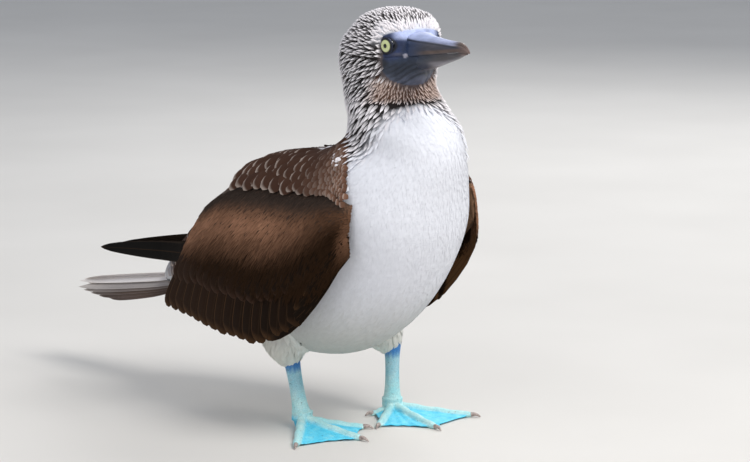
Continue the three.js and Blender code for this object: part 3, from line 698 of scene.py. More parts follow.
class Coat:
    """Lays feathers over the skin, each along its surface."""

    grid_lines: int = 260  # of the grid that places are drawn on, each way
    crowding: float = 3.2  # draws for each place that could be kept

    def __init__(self, skin: Mesh) -> None:
        """Prepares the skin for finding places on it.

        Args:
            skin: The finished skin, in metres.
        """
        faces = [tuple(p.vertices) for p in skin.polygons]
        self.tree = BVHTree.FromPolygons([tuple(p) for p in bird_points(skin)], faces)
        self.normals = vertex_array(skin, normals=True)
        self.corner = np.array([f[0] for f in faces])
        self.lie = Lie()

    def snap(self, points: Array) -> tuple[Array, Array]:
        """Nearest places on the skin and their normals."""
        at, normal = np.empty_like(points), np.empty_like(points)
        for i, p in enumerate(points):
            hit, _, face, _ = self.tree.find_nearest(p)
            at[i] = hit
            normal[i] = self.normals[self.corner[face]]
        return at, unit(normal)

    def thinned(self, points: Array, spacing: Array) -> Array:
        """Thins points out.

        Args:
            points: Places, the first ones preferred.
            spacing: Distance that each keeps from those before it.

        Returns:
            Indexes of the points that stay.
        """
        cell = float(spacing.max())
        grid: dict[tuple[int, int, int], list[int]] = {}
        kept = []
        keys = np.floor(points / cell).astype(int)
        for i, (key, p, gap) in enumerate(zip(keys, points, spacing)):
            near = (
                j for dx in (-1, 0, 1) for dy in (-1, 0, 1) for dz in (-1, 0, 1)
                for j in grid.get((key[0] + dx, key[1] + dy, key[2] + dz), ())
            )
            if all((p[0] - points[j][0]) ** 2 + (p[1] - points[j][1]) ** 2 + (p[2] - points[j][2]) ** 2
                   > gap * gap for j in near):
                kept.append(i)
                grid.setdefault(tuple(key), []).append(i)
        return np.array(kept)

    def scatter(self, rng: Rng, places: tuple[float, float], spacing: float,
                keep: Callable[[Array], Array], size: Callable[[Array], Array]) -> tuple[Array, Array]:
        """Even random places over a stretch of the body.

        Args:
            rng: Source of the draws.
            places: First and last station.
            spacing: Least distance between places of size 1.
            keep: Tells which points are wanted.
            size: Gives the size at points, which the distance goes with.

        Returns:
            Points and their place on the unwrap of the body.
        """
        low, high = places
        n = self.grid_lines
        place, angle = np.meshgrid(np.linspace(low, high, n), np.linspace(0, TURN, n), indexing="ij")
        corners = BODY.surface(place.ravel(), angle.ravel())
        grid = corners.reshape(n, n, 3)
        a, b = grid[1:, :-1] - grid[:-1, :-1], grid[:-1, 1:] - grid[:-1, :-1]
        area = np.linalg.norm(np.cross(a, b), axis=2).ravel()
        count = int(self.crowding * area.sum() / (spacing * size(corners).min()) ** 2)
        cell = rng.choice(len(area), size=count, p=area / area.sum())
        row, column = np.divmod(cell, n - 1)
        place = low + (high - low) * (row + rng.random(count)) / (n - 1)
        angle = TURN * (column + rng.random(count)) / (n - 1)
        points = BODY.surface(place, angle)
        uv = np.stack([angle / (TURN), place / (BODY.last + 1)], -1)
        points = self.snap(points)[0]
        wanted = keep(points)
        points, uv = points[wanted], uv[wanted]
        kept = self.thinned(points, spacing * size(points))
        return points[kept], uv[kept]

    def lines(self, roots: Array, ways: Array, lengths: Array, stops: Array,
              heights: tuple[float, float]) -> tuple[Array, Array]:
        """Feather lines that follow the skin.

        Args:
            roots: Where they start.
            ways: Direction of each.
            lengths: Length of each.
            stops: Places of the points on each line, from 0 to 1.
            heights: Height over the skin at root and tip.

        Returns:
            Lines and normals.
        """
        at, normal = self.snap(roots)
        out, normals = [], []
        way = ways
        for here, after in zip(stops, np.append(stops[1:], 1)):
            rise = heights[0] + (heights[1] - heights[0]) * here ** 0.7
            out.append(at + normal * rise)
            normals.append(normal)
            way = unit(way - normal * np.sum(way * normal, axis=1, keepdims=True))
            if after > here:
                at, normal = self.snap(at + way * (lengths * (after - here))[:, None])
        return np.stack(out, 1), np.stack(normals, 1)

    def feathers(self, rng: Rng, points: Array, uv: Array, patch: Patch,
                 size: Array = 1.0) -> Vanes:
        """Feathers of one kind, with the bird's markings.

        Args:
            rng: Source of the draws.
            points: Where they grow.
            uv: Place of each on the unwrap.
            patch: Their kind.
            size: Size of each, 1 for the kind's own.

        Returns:
            The feathers.
        """
        count = len(points)
        ways = self.lie.at(points) + rng.normal(0, patch.spread, (count, 3))
        lengths = rng.uniform(*patch.length, count) * size
        stops = patch.stops
        stations = len(stops)
        line, normal = self.lines(points, unit(ways), lengths, stops, patch.height)
        line = line + normal * (patch.uneven * rng.uniform(-1, 1, count))[:, None, None]
        wobble = rng.random(count)
        base, tip = MARKINGS.base(points, wobble), MARKINGS.tip(points, wobble)
        share = smoothstep(stops, *patch.pale_from)
        colour = mix(base[:, None], tip[:, None], np.broadcast_to(share, (count, stations)))
        colour = colour * rng.uniform(*patch.variety, (count, 1, 1))
        margin = tip
        if patch.margin:
            edge = np.broadcast_to(linear(patch.margin), tip.shape)
            rear = 0.3 + 0.7 * smoothstep(points[:, 1], -60, 30)
            margin = mix(tip, edge, rear * (0.6 + 0.4 * wobble))
        width = patch.width * size * rng.uniform(0.85, 1.15, count) / 2
        return Vanes(line, normal, width, patch.profile, colour, margin, uv, patch.camber, patch.columns,
                     rng.normal(0, patch.roll, count), stops)


# Finishes.

def rgba(colour: str) -> tuple[float, float, float, float]:
    """A node's colour value of an sRGB hex colour."""
    return (*linear(colour), 1.0)


def connect(tree: NodeTree, node: Node, inputs: dict) -> None:
    """Sets or links a node's inputs.

    Args:
        tree: Node tree.
        node: The node.
        inputs: By input name or number, a value, an output socket, or a node for its first output.
    """
    for key, value in inputs.items():
        if isinstance(value, Node):
            value = value.outputs[0]
        if isinstance(value, bpy.types.NodeSocket):
            tree.links.new(value, node.inputs[key])
        else:
            node.inputs[key].default_value = value


def add_node(tree: NodeTree, kind: str, inputs: Optional[dict] = None, stops: tuple = (),
             **settings: object) -> Node:
    """Adds a node with its settings and links.

    Args:
        tree: Node tree.
        kind: Node type.
        inputs: What its inputs get, as connect takes it.
        stops: Places and sRGB hex colours, for a colour ramp.
        settings: Attributes to set.

    Returns:
        The node.
    """
    node = tree.nodes.new(kind)
    for name, value in settings.items():
        setattr(node, name, value)
    connect(tree, node, inputs or {})
    if stops:
        elements = node.color_ramp.elements
        for _ in stops[2:]:
            elements.new(0.5)
        for element, (place, colour) in zip(elements, stops):
            element.position = place
            element.color = rgba(colour)
    return node


@dataclass(frozen=True)
class Finish:
    """A material with a principled shader."""

    name: str
    roughness: float = 0.6
    ior: float = 1.45

    def start(self) -> tuple[NodeTree, Node, Material]:
        """Starts the material.

        Returns:
            Its node tree, its shader and the material.
        """
        material = bpy.data.materials.new(self.name)
        material.use_nodes = True
        shader = material.node_tree.nodes["Principled BSDF"]
        connect(material.node_tree, shader, {"Roughness": self.roughness, "IOR": self.ior})
        return material.node_tree, shader, material

    @staticmethod
    def noise(tree: NodeTree, grain: float, detail: float = 3, stretch: tuple = (1, 1, 1)) -> Node:
        """Cloudy pattern fixed to the piece.

        Args:
            tree: Node tree.
            grain: Size of its largest clouds in millimetres.
            detail: Number of finer layers.
            stretch: Scale along each axis.

        Returns:
            The pattern's node.
        """
        place = add_node(tree, "ShaderNodeTexCoord").outputs["Object"]
        mapping = add_node(tree, "ShaderNodeMapping", {"Vector": place, "Scale": stretch})
        return add_node(tree, "ShaderNodeTexNoise", {
            "Vector": mapping, "Scale": 1 / (grain * MM), "Detail": detail,
        })

    @staticmethod
    def plates(tree: NodeTree, size: float) -> Node:
        """Distance to the rims of small skin plates, by their size in millimetres."""
        place = add_node(tree, "ShaderNodeTexCoord").outputs["Object"]
        return add_node(tree, "ShaderNodeTexVoronoi", {"Vector": place, "Scale": 1 / (size * MM)},
                        feature="DISTANCE_TO_EDGE")


@dataclass(frozen=True)
class FeatherFinish(Finish):
    """Feather keratin, matt and fine-barbed. The colour is the feather's own, with a margin and a shaft."""

    barbs: float = 26  # barbs shown along a feather, coarser than real ones so that they show
    slant: float = 14
    bump: float = 0.25
    edge: tuple[float, float] = (0.8, 0.97)
    shaft: float = 0.0
    shaft_colour: str = "#8d7a6b"
    sheen: float = 0.15
    gloss: float = 0.5
    crescent: float = 0.0  # bend of a margin that is only at the tip, or 0 for one all round

    def build(self) -> Material:
        """Makes the material.

        Returns:
            The material.
        """
        tree, shader, material = self.start()
        own = add_node(tree, "ShaderNodeAttribute", attribute_name="plumage")
        margin = add_node(tree, "ShaderNodeAttribute", attribute_name="margin")
        vane = add_node(tree, "ShaderNodeUVMap", uv_map="Vane")
        split = add_node(tree, "ShaderNodeSeparateXYZ", {0: vane})
        across, along = split.outputs[0], split.outputs[1]
        off = add_node(tree, "ShaderNodeMath", {0: across, 1: 0.5}, operation="SUBTRACT")
        aside = add_node(tree, "ShaderNodeMath", {0: off}, operation="ABSOLUTE")
        wide = add_node(tree, "ShaderNodeMath", {0: aside, 1: 2.0}, operation="MULTIPLY")
        if self.crescent:
            square = add_node(tree, "ShaderNodeMath", {0: wide, 1: 2.0}, operation="POWER")
            reach = add_node(tree, "ShaderNodeMath", {0: square, 1: self.crescent, 2: along},
                             operation="MULTIPLY_ADD")
        else:
            reach = add_node(tree, "ShaderNodeMath", {0: wide, 1: along}, operation="MAXIMUM")
        near = add_node(tree, "ShaderNodeMapRange", {
            "Value": reach, "From Min": self.edge[0], "From Max": self.edge[1],
        }, interpolation_type="SMOOTHSTEP")
        tint = add_node(tree, "ShaderNodeMix", {"Factor": near, 6: own, 7: margin},
                        data_type="RGBA").outputs[2]
        if self.shaft:
            line = add_node(tree, "ShaderNodeMapRange", {
                "Value": aside, "From Min": self.shaft, "From Max": self.shaft * 0.4,
            }, interpolation_type="SMOOTHSTEP")
            tint = add_node(tree, "ShaderNodeMix", {"Factor": line, 6: tint, 7: rgba(self.shaft_colour)},
                            data_type="RGBA").outputs[2]
        vary = add_node(tree, "ShaderNodeMapRange", {
            "Value": self.noise(tree, 5.0), "To Min": 0.92, "To Max": 1.08,
        })
        colour = add_node(tree, "ShaderNodeVectorMath", {0: tint, "Scale": vary}, operation="SCALE")
        rows = add_node(tree, "ShaderNodeMath", {0: along, 1: self.barbs * TURN}, operation="MULTIPLY")
        lean = add_node(tree, "ShaderNodeMath", {0: aside, 1: self.slant * TURN}, operation="MULTIPLY")
        phase = add_node(tree, "ShaderNodeMath", {0: rows, 1: lean}, operation="SUBTRACT")
        barbs = add_node(tree, "ShaderNodeMath", {0: phase}, operation="SINE")
        bump = add_node(tree, "ShaderNodeBump", {
            "Height": barbs, "Strength": self.bump, "Distance": 0.2 * MM,
        })
        connect(tree, shader, {
            "Base Color": colour, "Normal": bump, "Specular IOR Level": self.gloss,
            "Sheen Weight": self.sheen, "Sheen Roughness": 0.5,
        })
        return material


@dataclass(frozen=True)
class SkinFinish(Finish):
    """Bird skin: under the plumage it has the plumage's colours, and on the bare face it is slate blue."""

    covered_roughness: float = 0.9
    plate: float = 1.3  # size in millimetres of the plates of the bare face
    fold: float = 2.2  # size of its folds

    def build(self) -> Material:
        """Makes the material.

        Returns:
            The material.
        """
        tree, shader, material = self.start()
        own = add_node(tree, "ShaderNodeAttribute", attribute_name="plumage")
        bare = add_node(tree, "ShaderNodeAttribute", attribute_name="bare").outputs["Fac"]
        drift = add_node(tree, "ShaderNodeMapRange", {
            "Value": self.noise(tree, 9.0, 4), "From Min": 0.3, "From Max": 0.7,
            "To Min": -0.28, "To Max": 0.3,
        })
        vary = add_node(tree, "ShaderNodeMath", {0: drift, 1: bare, 2: 1.0}, operation="MULTIPLY_ADD")
        colour = add_node(tree, "ShaderNodeVectorMath", {0: own, "Scale": vary}, operation="SCALE")
        rough = add_node(tree, "ShaderNodeMapRange", {
            "Value": bare, "To Min": self.covered_roughness, "To Max": self.roughness,
        })
        height = add_node(tree, "ShaderNodeMath", {
            0: self.plates(tree, self.plate), 1: self.noise(tree, self.fold, 3, (1, 1, 2.4)),
        }, operation="ADD")
        strength = add_node(tree, "ShaderNodeMath", {0: bare, 1: 0.55}, operation="MULTIPLY")
        bump = add_node(tree, "ShaderNodeBump", {
            "Height": height, "Strength": strength, "Distance": 0.35 * MM,
        })
        connect(tree, shader, {"Base Color": colour, "Roughness": rough, "Normal": bump})
        return material


@dataclass(frozen=True)
class HornFinish(Finish):
    """Horn of the bill, satin: fine lengthwise fibres, from blue grey at the base to brown at the tip."""

    fibre: float = 1.1  # width in millimetres of the fibres, coarser than real ones so that they show

    def build(self) -> Material:
        """Makes the material.

        Returns:
            The material.
        """
        tree, shader, material = self.start()
        own = add_node(tree, "ShaderNodeAttribute", attribute_name="plumage")
        vary = add_node(tree, "ShaderNodeMapRange", {
            "Value": self.noise(tree, 5.0, 4, (1, 0.3, 1)), "From Min": 0.3, "From Max": 0.7,
            "To Min": 0.8, "To Max": 1.2,
        })
        colour = add_node(tree, "ShaderNodeVectorMath", {0: own, "Scale": vary}, operation="SCALE")
        bump = add_node(tree, "ShaderNodeBump", {
            "Height": self.noise(tree, self.fibre, 3, (1, 0.12, 1)), "Strength": 0.5, "Distance": 0.25 * MM,
        })
        connect(tree, shader, {"Base Color": colour, "Normal": bump})
        return material


@dataclass(frozen=True)
class EyeFinish(Finish):
    """Wet eyeball: a black pupil, a pale yellow iris and a dark rim."""

    def build(self) -> Material:
        """Makes the material.

        Returns:
            The material.
        """
        tree, shader, material = self.start()
        turn = add_node(tree, "ShaderNodeAttribute", attribute_name="off_axis").outputs["Fac"]
        drift = add_node(tree, "ShaderNodeMath", {0: self.noise(tree, 0.7, 2), 1: 0.05, 2: turn},
                         operation="MULTIPLY_ADD")
        colour = add_node(tree, "ShaderNodeValToRGB", {"Fac": drift}, (
            (0.0, "#040404"), (0.31, "#060605"), (0.34, "#59602f"), (0.38, "#ccd694"), (0.7, "#dde4ab"),
            (0.88, "#c6d08c"), (0.95, "#3c4130"), (0.98, "#0d0e12"),
        ))
        connect(tree, shader, {"Base Color": colour, "Coat Weight": 1.0, "Coat Roughness": 0.02})
        return material


@dataclass(frozen=True)
class LegFinish(Finish):
    """Scaly leg skin, satin: turquoise with deeper blue webs, small plates and creases."""

    plate: float = 2.1  # size in millimetres of the plates

    def build(self) -> Material:
        """Makes the material.

        Returns:
            The material.
        """
        tree, shader, material = self.start()
        ridge = add_node(tree, "ShaderNodeAttribute", attribute_name="ridge").outputs["Fac"]
        shade = add_node(tree, "ShaderNodeAttribute", attribute_name="shade").outputs["Fac"]
        cloud = self.noise(tree, 8.0, 3)
        web = add_node(tree, "ShaderNodeValToRGB", {"Fac": cloud}, (
            (0.3, "#44cdf2"), (0.55, "#5fdcfc"), (0.75, "#8fe8fb"),
        ))
        toe = add_node(tree, "ShaderNodeValToRGB", {"Fac": cloud}, ((0.3, "#a6e4e8"), (0.7, "#cdf2f0")))
        skin = add_node(tree, "ShaderNodeMix", {"Factor": ridge, 6: web, 7: toe}, data_type="RGBA")
        # Painted shade: deeper blue where the leg is tagged as shaded.
        deep = add_node(tree, "ShaderNodeMix", {"Factor": shade, 6: skin.outputs[2], 7: rgba("#3f84c6")},
                        data_type="RGBA")
        cells = self.plates(tree, self.plate)
        gap = add_node(tree, "ShaderNodeMapRange", {
            "Value": cells, "From Max": 0.14, "To Min": 0.84, "To Max": 1.02,
        })
        speck = add_node(tree, "ShaderNodeMapRange", {
            "Value": self.noise(tree, 2.6, 2), "From Min": 0.66, "From Max": 0.74,
            "To Min": 1.0, "To Max": 0.5,
        })
        worn = add_node(tree, "ShaderNodeMath", {0: gap, 1: speck}, operation="MULTIPLY")
        colour = add_node(tree, "ShaderNodeVectorMath", {0: deep.outputs[2], "Scale": worn},
                          operation="SCALE")
        plate = add_node(tree, "ShaderNodeMapRange", {"Value": cells, "From Max": 0.22})
        bump = add_node(tree, "ShaderNodeBump", {"Height": plate, "Strength": 0.7, "Distance": 0.35 * MM})
        connect(tree, shader, {"Base Color": colour, "Normal": bump})
        return material


@dataclass(frozen=True)
class CloudedFinish(Finish):
    """An even surface with faint clouds."""

    grain: float = 1.0
    tones: tuple = ()  # stops of the clouds' colours

    def build(self) -> Material:
        """Makes the material.

        Returns:
            The material.
        """
        tree, shader, material = self.start()
        colour = add_node(tree, "ShaderNodeValToRGB", {"Fac": self.noise(tree, self.grain, 2)}, self.tones)
        connect(tree, shader, {"Base Color": colour})
        return material


# Smooth claw horn, faintly streaked, and painted board, matt and almost without a mark.
CLAW = CloudedFinish("smooth claw horn", 0.4, grain=2.0,
                     tones=((0.35, "#8d7f7a"), (0.6, "#b9aaa3"), (0.8, "#cfc4bd")))
BOARD = CloudedFinish("matt painted board", 0.8, grain=300.0, tones=((0.3, "#d4d1cc"), (0.7, "#d9d6d1")))


# The skin, with its bare face.

@dataclass
class Skin:
    """One skin from crown to thighs, under the plumage and bare on the face."""

    voxel: float = 2.1
    passes: int = 5  # of smoothing
    fine_at: tuple = (45, 0, -2)  # middle of the face, where the skin's grid is finer
    fine_reach: float = 42
    # Pouch and bare face: f, height over the mouth line, depth under it, half width over and under it.
    face: tuple = (
        (10, 20, 26, 24, 24), (24, 23, 28.5, 26, 26), (35, 24.5, 30.2, 23.2, 24.5),
        (43, 23.5, 26.5, 18.2, 20.5), (51, 20.8, 21, 14.9, 16), (60, 16.5, 15.6, 12.7, 12),
        (70, 11, 12.6, 9.6, 9.4), (80, 5, 10.4, 6, 7), (90, 2, 8.4, 4, 5), (99, 1, 6, 3, 4),
    )
    mouth_from: float = 24
    mouth_depth: float = 1.6
    mouth_half: float = 1.1  # half width of its groove
    fold_depth: float = 1.1
    socket: tuple = (3.5, 0.8)  # depth to which the skin sinks round an eye, and slope of its side
    lid_radius: float = 6.9
    lid_thickness: float = 1.05

    def body(self) -> BMesh:
        """Body, neck and head under the plumage."""
        def surface(u: Array, v: Array) -> Array:
            place = v * BODY.last
            return BODY.surface(place, u * TURN, -BODY.depth(place))
        return wrapped(surface, 72, 200)

    def face_skin(self) -> BMesh:
        """Bare face and pouch."""
        def surface(u: Array, v: Array) -> Array:
            f, above, below, high, low = blend_rows(self.face, v * (len(self.face) - 1)).T
            angle = u * TURN
            rise = np.sin(angle)
            z = HEAD.mouth(f) + np.where(rise > 0, above, below) * rise
            half = low + (high - low) * smoothstep(rise, -0.35, 0.35)
            return HEAD.point(f, half * np.sign(np.cos(angle)) * np.abs(np.cos(angle)) ** 0.9, z)
        return wrapped(surface, 64, 80)

    def lids(self, side: Side) -> BMesh:
        """Ring of the lids round an eye."""
        axis = HEAD.gaze(side)
        across = unit(np.cross(axis, (0, 0, 1)))
        up = np.cross(across, axis)
        out = math.sqrt(HEAD.eye_radius ** 2 - self.lid_radius ** 2)
        centre = HEAD.eye(side) + axis * out

        def surface(u: Array, v: Array) -> Array:
            a, b = u * TURN, v * TURN
            ring = across * np.cos(b)[:, None] + up * (0.97 * np.sin(b))[:, None]
            radius = self.lid_radius + self.lid_thickness * (np.cos(a) + 0.6)
            return centre + ring * radius[:, None] + axis * (self.lid_thickness * np.sin(a) - 0.5)[:, None]
        return wrapped(surface, 12, 48)

    def carve(self, mesh: Mesh) -> None:
        """Cuts the mouth's line and folds the pouch's skin."""
        points = bird_points(mesh)
        normals = vertex_array(mesh, normals=True)
        f, _, z = HEAD.local(points)
        bare = smoothstep(HEAD.past_edge(points), -1.2, 1.2)
        under = HEAD.mouth(f) - z
        line = np.clip(1 - np.abs(under) / self.mouth_half, 0, 1)
        line = line * smoothstep(f, self.mouth_from, self.mouth_from + 4)
        push = -self.mouth_depth * line - self.fold_depth * FOLDS.crease(f, under)
        points = points + normals * (push * bare * (f < 100))[:, None]
        for side in Side:
            axis, away = HEAD.gaze(side), points - HEAD.eye(side)
            out = away @ axis
            ring = np.linalg.norm(away - out[:, None] * axis, axis=1)
            sink = np.maximum(out - self.socket[0] - self.socket[1] * np.maximum(ring - 7.5, 0), 0)
            points = points - axis * (sink * (ring < 16) * (out > -3))[:, None]
        set_points(mesh, points)

    def build(self, thighs: list[BMesh], material: Material) -> Object:
        """Makes the skin."""
        parts = [self.body(), self.face_skin(), *thighs]
        mesh = fused(merged(parts, "skin"), self.voxel, self.passes)
        bm = bmesh.new()
        bm.from_mesh(mesh)
        centre = HEAD.point(*self.fine_at)
        near = [
            e for e in bm.edges
            if np.linalg.norm((np.array(e.verts[0].co) - ORIGIN) / MM - centre) < self.fine_reach
        ]
        bmesh.ops.subdivide_edges(bm, edges=near, cuts=1, use_grid_fill=True, smooth=0.6)
        bm.to_mesh(mesh)
        bm.free()
        self.carve(mesh)
        lids = merged([self.lids(side) for side in Side], "lids")
        bm = bmesh.new()
        bm.from_mesh(mesh)
        bm.from_mesh(lids)
        bmesh.ops.triangulate(bm, faces=[f for f in bm.faces if len(f.verts) > 4])
        bm.to_mesh(mesh)
        bm.free()
        bpy.data.meshes.remove(lids)
        points = bird_points(mesh)
        bare = smoothstep(HEAD.past_edge(points), -0.4, 1.6)
        plumage = MARKINGS.base(points, np.full(len(points), 0.5))
        paint(mesh, "plumage", mix(plumage, face_colour(points), bare))
        tag(mesh, "bare", bare)
        nodes = ("torso", "neck", "head", "thigh_left", "thigh_right")
        return piece("skin", mesh, material, "body_feathers", nodes)


# Bill and eyes.

def bill_colour(points: Array) -> Array:
    """Colour of bill and bare face.

    Args:
        points: Places in the bird's frame.

    Returns:
        Colours.
    """
    f, _, z = HEAD.local(points)
    up = z - HEAD.mouth(f)
    groove = np.interp(f, (42, 60, 90, 125, 139), (17, 13.2, 9.2, 4.6, 2))
    side = mix(linear("#2c3a58"), linear("#46444c"), smoothstep(f, 46, 84))
    side = mix(side, linear("#62524b"), smoothstep(-np.abs(up - 2.2), -2.6, -0.6) * smoothstep(f, 58, 84))
    # The top is pale lavender: the bill's own blue grey with a painted highlight from the light above.
    top = mix(linear("#aab5da"), linear("#b2b9d8"), smoothstep(f, 62, 96))
    top = mix(top, linear("#63564f"), smoothstep(f, 108, 126))
    colour = mix(side, top, smoothstep(up - groove, 0.2, 2.2) * smoothstep(f, 38, 43))
    line = smoothstep(-np.abs(up - groove), -1.1, -0.2) * smoothstep(f, 43, 47) * smoothstep(-f, -128, -118)
    colour = mix(colour, linear("#1d202b"), 0.8 * line)
    low = mix(linear("#323a4a"), linear("#4b484b"), smoothstep(f, 62, 100))
    low = mix(low, linear("#77747a"), smoothstep(-up, 5.5, 8.5) * smoothstep(f, 72, 88))
    colour = mix(colour, low, smoothstep(-up, -0.2, 0.3))
    tip = smoothstep(f, 122, 136)
    return mix(colour, linear("#6f5d58"), tip * 0.85)


def face_colour(points: Array) -> Array:
    """Colour of the bare face and pouch, dark slate and deeper blue before the eye.

    Args:
        points: Places in the bird's frame.

    Returns:
        Colours.
    """
    f, _, z = HEAD.local(points)
    under = HEAD.mouth(f) - z
    eye = HEAD.eye_at
    ring = np.hypot(f - eye[0] - 1.4, z - eye[2])
    colour = mix(linear("#2c384e"), linear("#2b3342"), smoothstep(under, 2, 12))
    colour = mix(colour, linear("#223054"), smoothstep(-ring, -17, -11))
    colour = mix(colour, linear("#10131c"), smoothstep(-ring, -9.0, -7.4))
    colour = mix(colour, linear("#596074"), 0.8 * smoothstep(under, 13, 23))
    # Painted shade: the pouch is darker in the creases of its folds.
    colour = mix(colour, linear("#10141d"), 0.7 * FOLDS.crease(f, under))
    colour = mix(colour, linear("#17181d"), 0.75 * smoothstep(-np.hypot(f - 31, z + 1), -6, -2))
    gape = smoothstep(-np.abs(under + 2.4), -2.2, -0.8) * smoothstep(f, 36, 42)
    colour = mix(colour, linear("#4d4c56"), 0.6 * gape)
    horn = smoothstep(f, 42, 48) * smoothstep(-under, -2, 4)
    colour = mix(colour, bill_colour(points), horn)
    # Painted highlight: the top of the face before the eye is pale lavender, like the bill's top.
    roof = smoothstep(f + 0.5 * (z - 24), 35, 42) * smoothstep(z, 19.5, 24)
    colour = mix(colour, linear("#aab5da"), roof)
    # Painted highlight: a small pale spot at the bill's base, just over the mouth's line.
    spot = np.hypot(0.7 * (f - 48.5), under + 0.6)
    return mix(colour, linear("#b3b1be"), smoothstep(-spot, -2.4, -1.3))


@dataclass
class Mandible:
    """One half of the bill, by distance from the tip: height or depth, and half width at its edge."""

    name: str
    rows: tuple
    lift: float  # clearance to the mouth's line
    section: tuple  # half a section from its edge to its ridge: share of the width, share of the height
    base_section: tuple = ()  # the same at its root, if it differs

    def surface(self, u: Array, v: Array) -> Array:
        """Points of its surface, u round it and v along it from the tip."""
        start = v ** 1.25 * (len(self.rows) - 1)
        from_tip, height, width = blend_rows(self.rows, start).T
        turn = np.where(u <= 0.42, u / 0.42, np.where(u <= 0.84, (0.84 - u) / 0.42, 0))
        sign = np.where(u <= 0.42, 1.0, np.where(u <= 0.84, -1.0, 0))
        spot = turn * (len(self.section) - 1)
        base = self.base_section or self.section
        root = smoothstep(from_tip, 55, 95)
        w, h = mix(blend_rows(self.section, spot), blend_rows(base, spot), root).T
        flat = np.clip((u - 0.84) / 0.16, 0, 1)
        w = np.where(u <= 0.84, w * sign, -1 + 2 * flat)
        h = np.where(u <= 0.84, h, 0)
        f = HEAD.bill_tip - from_tip
        return HEAD.point(f, w * width, HEAD.mouth(f) + self.lift + h * height)

    def build(self, material: Material) -> None:
        """Makes the piece.

        Args:
            material: Its finish.
        """
        mesh = merged([wrapped(self.surface, 96, 140)], self.name)
        paint(mesh, "plumage", bill_colour(bird_points(mesh)))
        piece(self.name, mesh, material, "bill", (self.name,), sharp=48)


UPPER_BILL = Mandible(
    "bill_upper",
    ((0, 2.4, 1.2), (4, 5.6, 2.8), (10, 8.2, 4.2), (20, 10, 5.6), (38, 12.5, 7.4), (60, 16.4, 10),
     (80, 20.6, 13.4), (88, 21.8, 14.8), (96, 20.5, 14), (102, 17, 12)),
    0.1,
    ((1, 0), (1.02, 0.28), (0.86, 0.55), (0.6, 0.7), (0.5, 0.72), (0.42, 0.88), (0.16, 1), (0, 1.01)),
    ((1, 0), (1.02, 0.3), (0.99, 0.52), (0.93, 0.62), (0.9, 0.66), (0.86, 0.8), (0.6, 0.96), (0, 1.02)),
)
LOWER_BILL = Mandible(
    "bill_lower",
    ((3, 1.3, 0.8), (10, 3.4, 3.1), (20, 6, 4.7), (38, 9, 6.6), (60, 12.5, 9), (82, 14.5, 11.4),
     (98, 15, 13)),
    -0.1,
    ((1, 0), (1, -0.35), (0.8, -0.72), (0.42, -0.95), (0, -1.01)),
)


@dataclass
class Eyeball:
    """Eyeball with a low cornea over its iris."""

    side: Side
    iris: float = 6.4  # radius
    bulge: float = 0.9  # of the cornea over the iris's rim

    def build(self, material: Material) -> None:
        """Makes the piece.

        Args:
            material: Its finish.
        """
        axis = Vector(HEAD.gaze(self.side))
        centre = Vector(HEAD.eye(self.side))
        radius = HEAD.eye_radius - 0.1
        rim = math.sqrt(radius ** 2 - self.iris ** 2)
        bm = bmesh.new()
        bmesh.ops.create_uvsphere(bm, u_segments=64, v_segments=64, radius=radius)
        turn = Vector((0, 0, 1)).rotation_difference(axis).to_matrix()
        bmesh.ops.rotate(bm, verts=bm.verts, cent=(0, 0, 0), matrix=turn)
        shares = []
        for vert in bm.verts:
            out = vert.co.dot(axis)
            aside = vert.co - axis * out
            share = aside.length / self.iris if out > 0 else 9.0
            if share < 1:
                vert.co = aside + axis * (rim + self.bulge * (1 - share ** 2))
            shares.append(min(share, 2.0) if out > 0 else 2.0)
            vert.co += centre
        name = f"eye_{self.side.word}"
        mesh = merged([bm], name)
        tag(mesh, "off_axis", shares)
        piece(name, mesh, material, "eye", (name,))


# Wings.

@dataclass(frozen=True)
class WingForm:
    """Surface of a folded wing, from its top edge to its hem, front to back."""

    # top x, y, z, hem x, y, z, outward bulge
    columns: tuple = (
        (85, -88, 241, 90, -90, 190, 3),
        (81, -64, 249, 94, -60, 150, 7),
        (77, -24, 244, 94, -20, 112, 11),
        (69, 22, 243, 88, 35, 90, 14),
        (62, 68, 239, 79, 97, 90, 15),
        (54, 112, 231, 68, 156, 96, 13),
        (45, 150, 213, 56, 208, 99, 9),
    )

    turn_in: float = 7.0  # how far the front edge turns towards the breast
    length: float = 262  # front to back, over which s goes from 0 to 1
    drop: float = 138  # top to hem, over which t goes from 0 to 1

    def surface(self, s: Array, t: Array) -> Array:
        """Points at shares s, front to back, and t, top to hem."""
        row = blend_rows(self.columns, s * (len(self.columns) - 1))
        p = row[:, :3] + (row[:, 3:6] - row[:, :3]) * t[:, None]
        p[:, 0] += row[:, 6] * 4 * t * (1 - t) - self.turn_in * np.clip(1 - s / 0.09, 0, 1.5) ** 2
        return p

    def normal(self, s: Array, t: Array) -> Array:
        """Outward normals."""
        e = 0.01
        across = self.surface(s + e, t) - self.surface(s - e, t)
        down = self.surface(s, t + e) - self.surface(s, t - e)
        n = unit(np.cross(down, across))
        return n * np.where(n[:, :1] < 0, -1, 1)


WING = WingForm()


ROUND_TIP = (0.6, 0.85, 1.0, 1.0, 0.9, 0.62)  # widths of a feather with a round tip


@dataclass
class WingRow:
    """A row of large wing feathers."""

    name: str
    count: int
    span: tuple[float, float]
    reach: tuple[float, float]  # t of root and tip
    height: tuple[float, float]
    width: float  # over the spacing
    colours: tuple[str, str]
    margin: str
    shift: float = 0.0  # s that the tip lies further back
    widths: tuple = (0.8, 0.92, 1, 1, 1, 1, 0.95, 0.8, 0.55)
    stops: tuple = (0, 0.15, 0.3, 0.45, 0.6, 0.75, 0.86, 0.93, 0.975, 1)


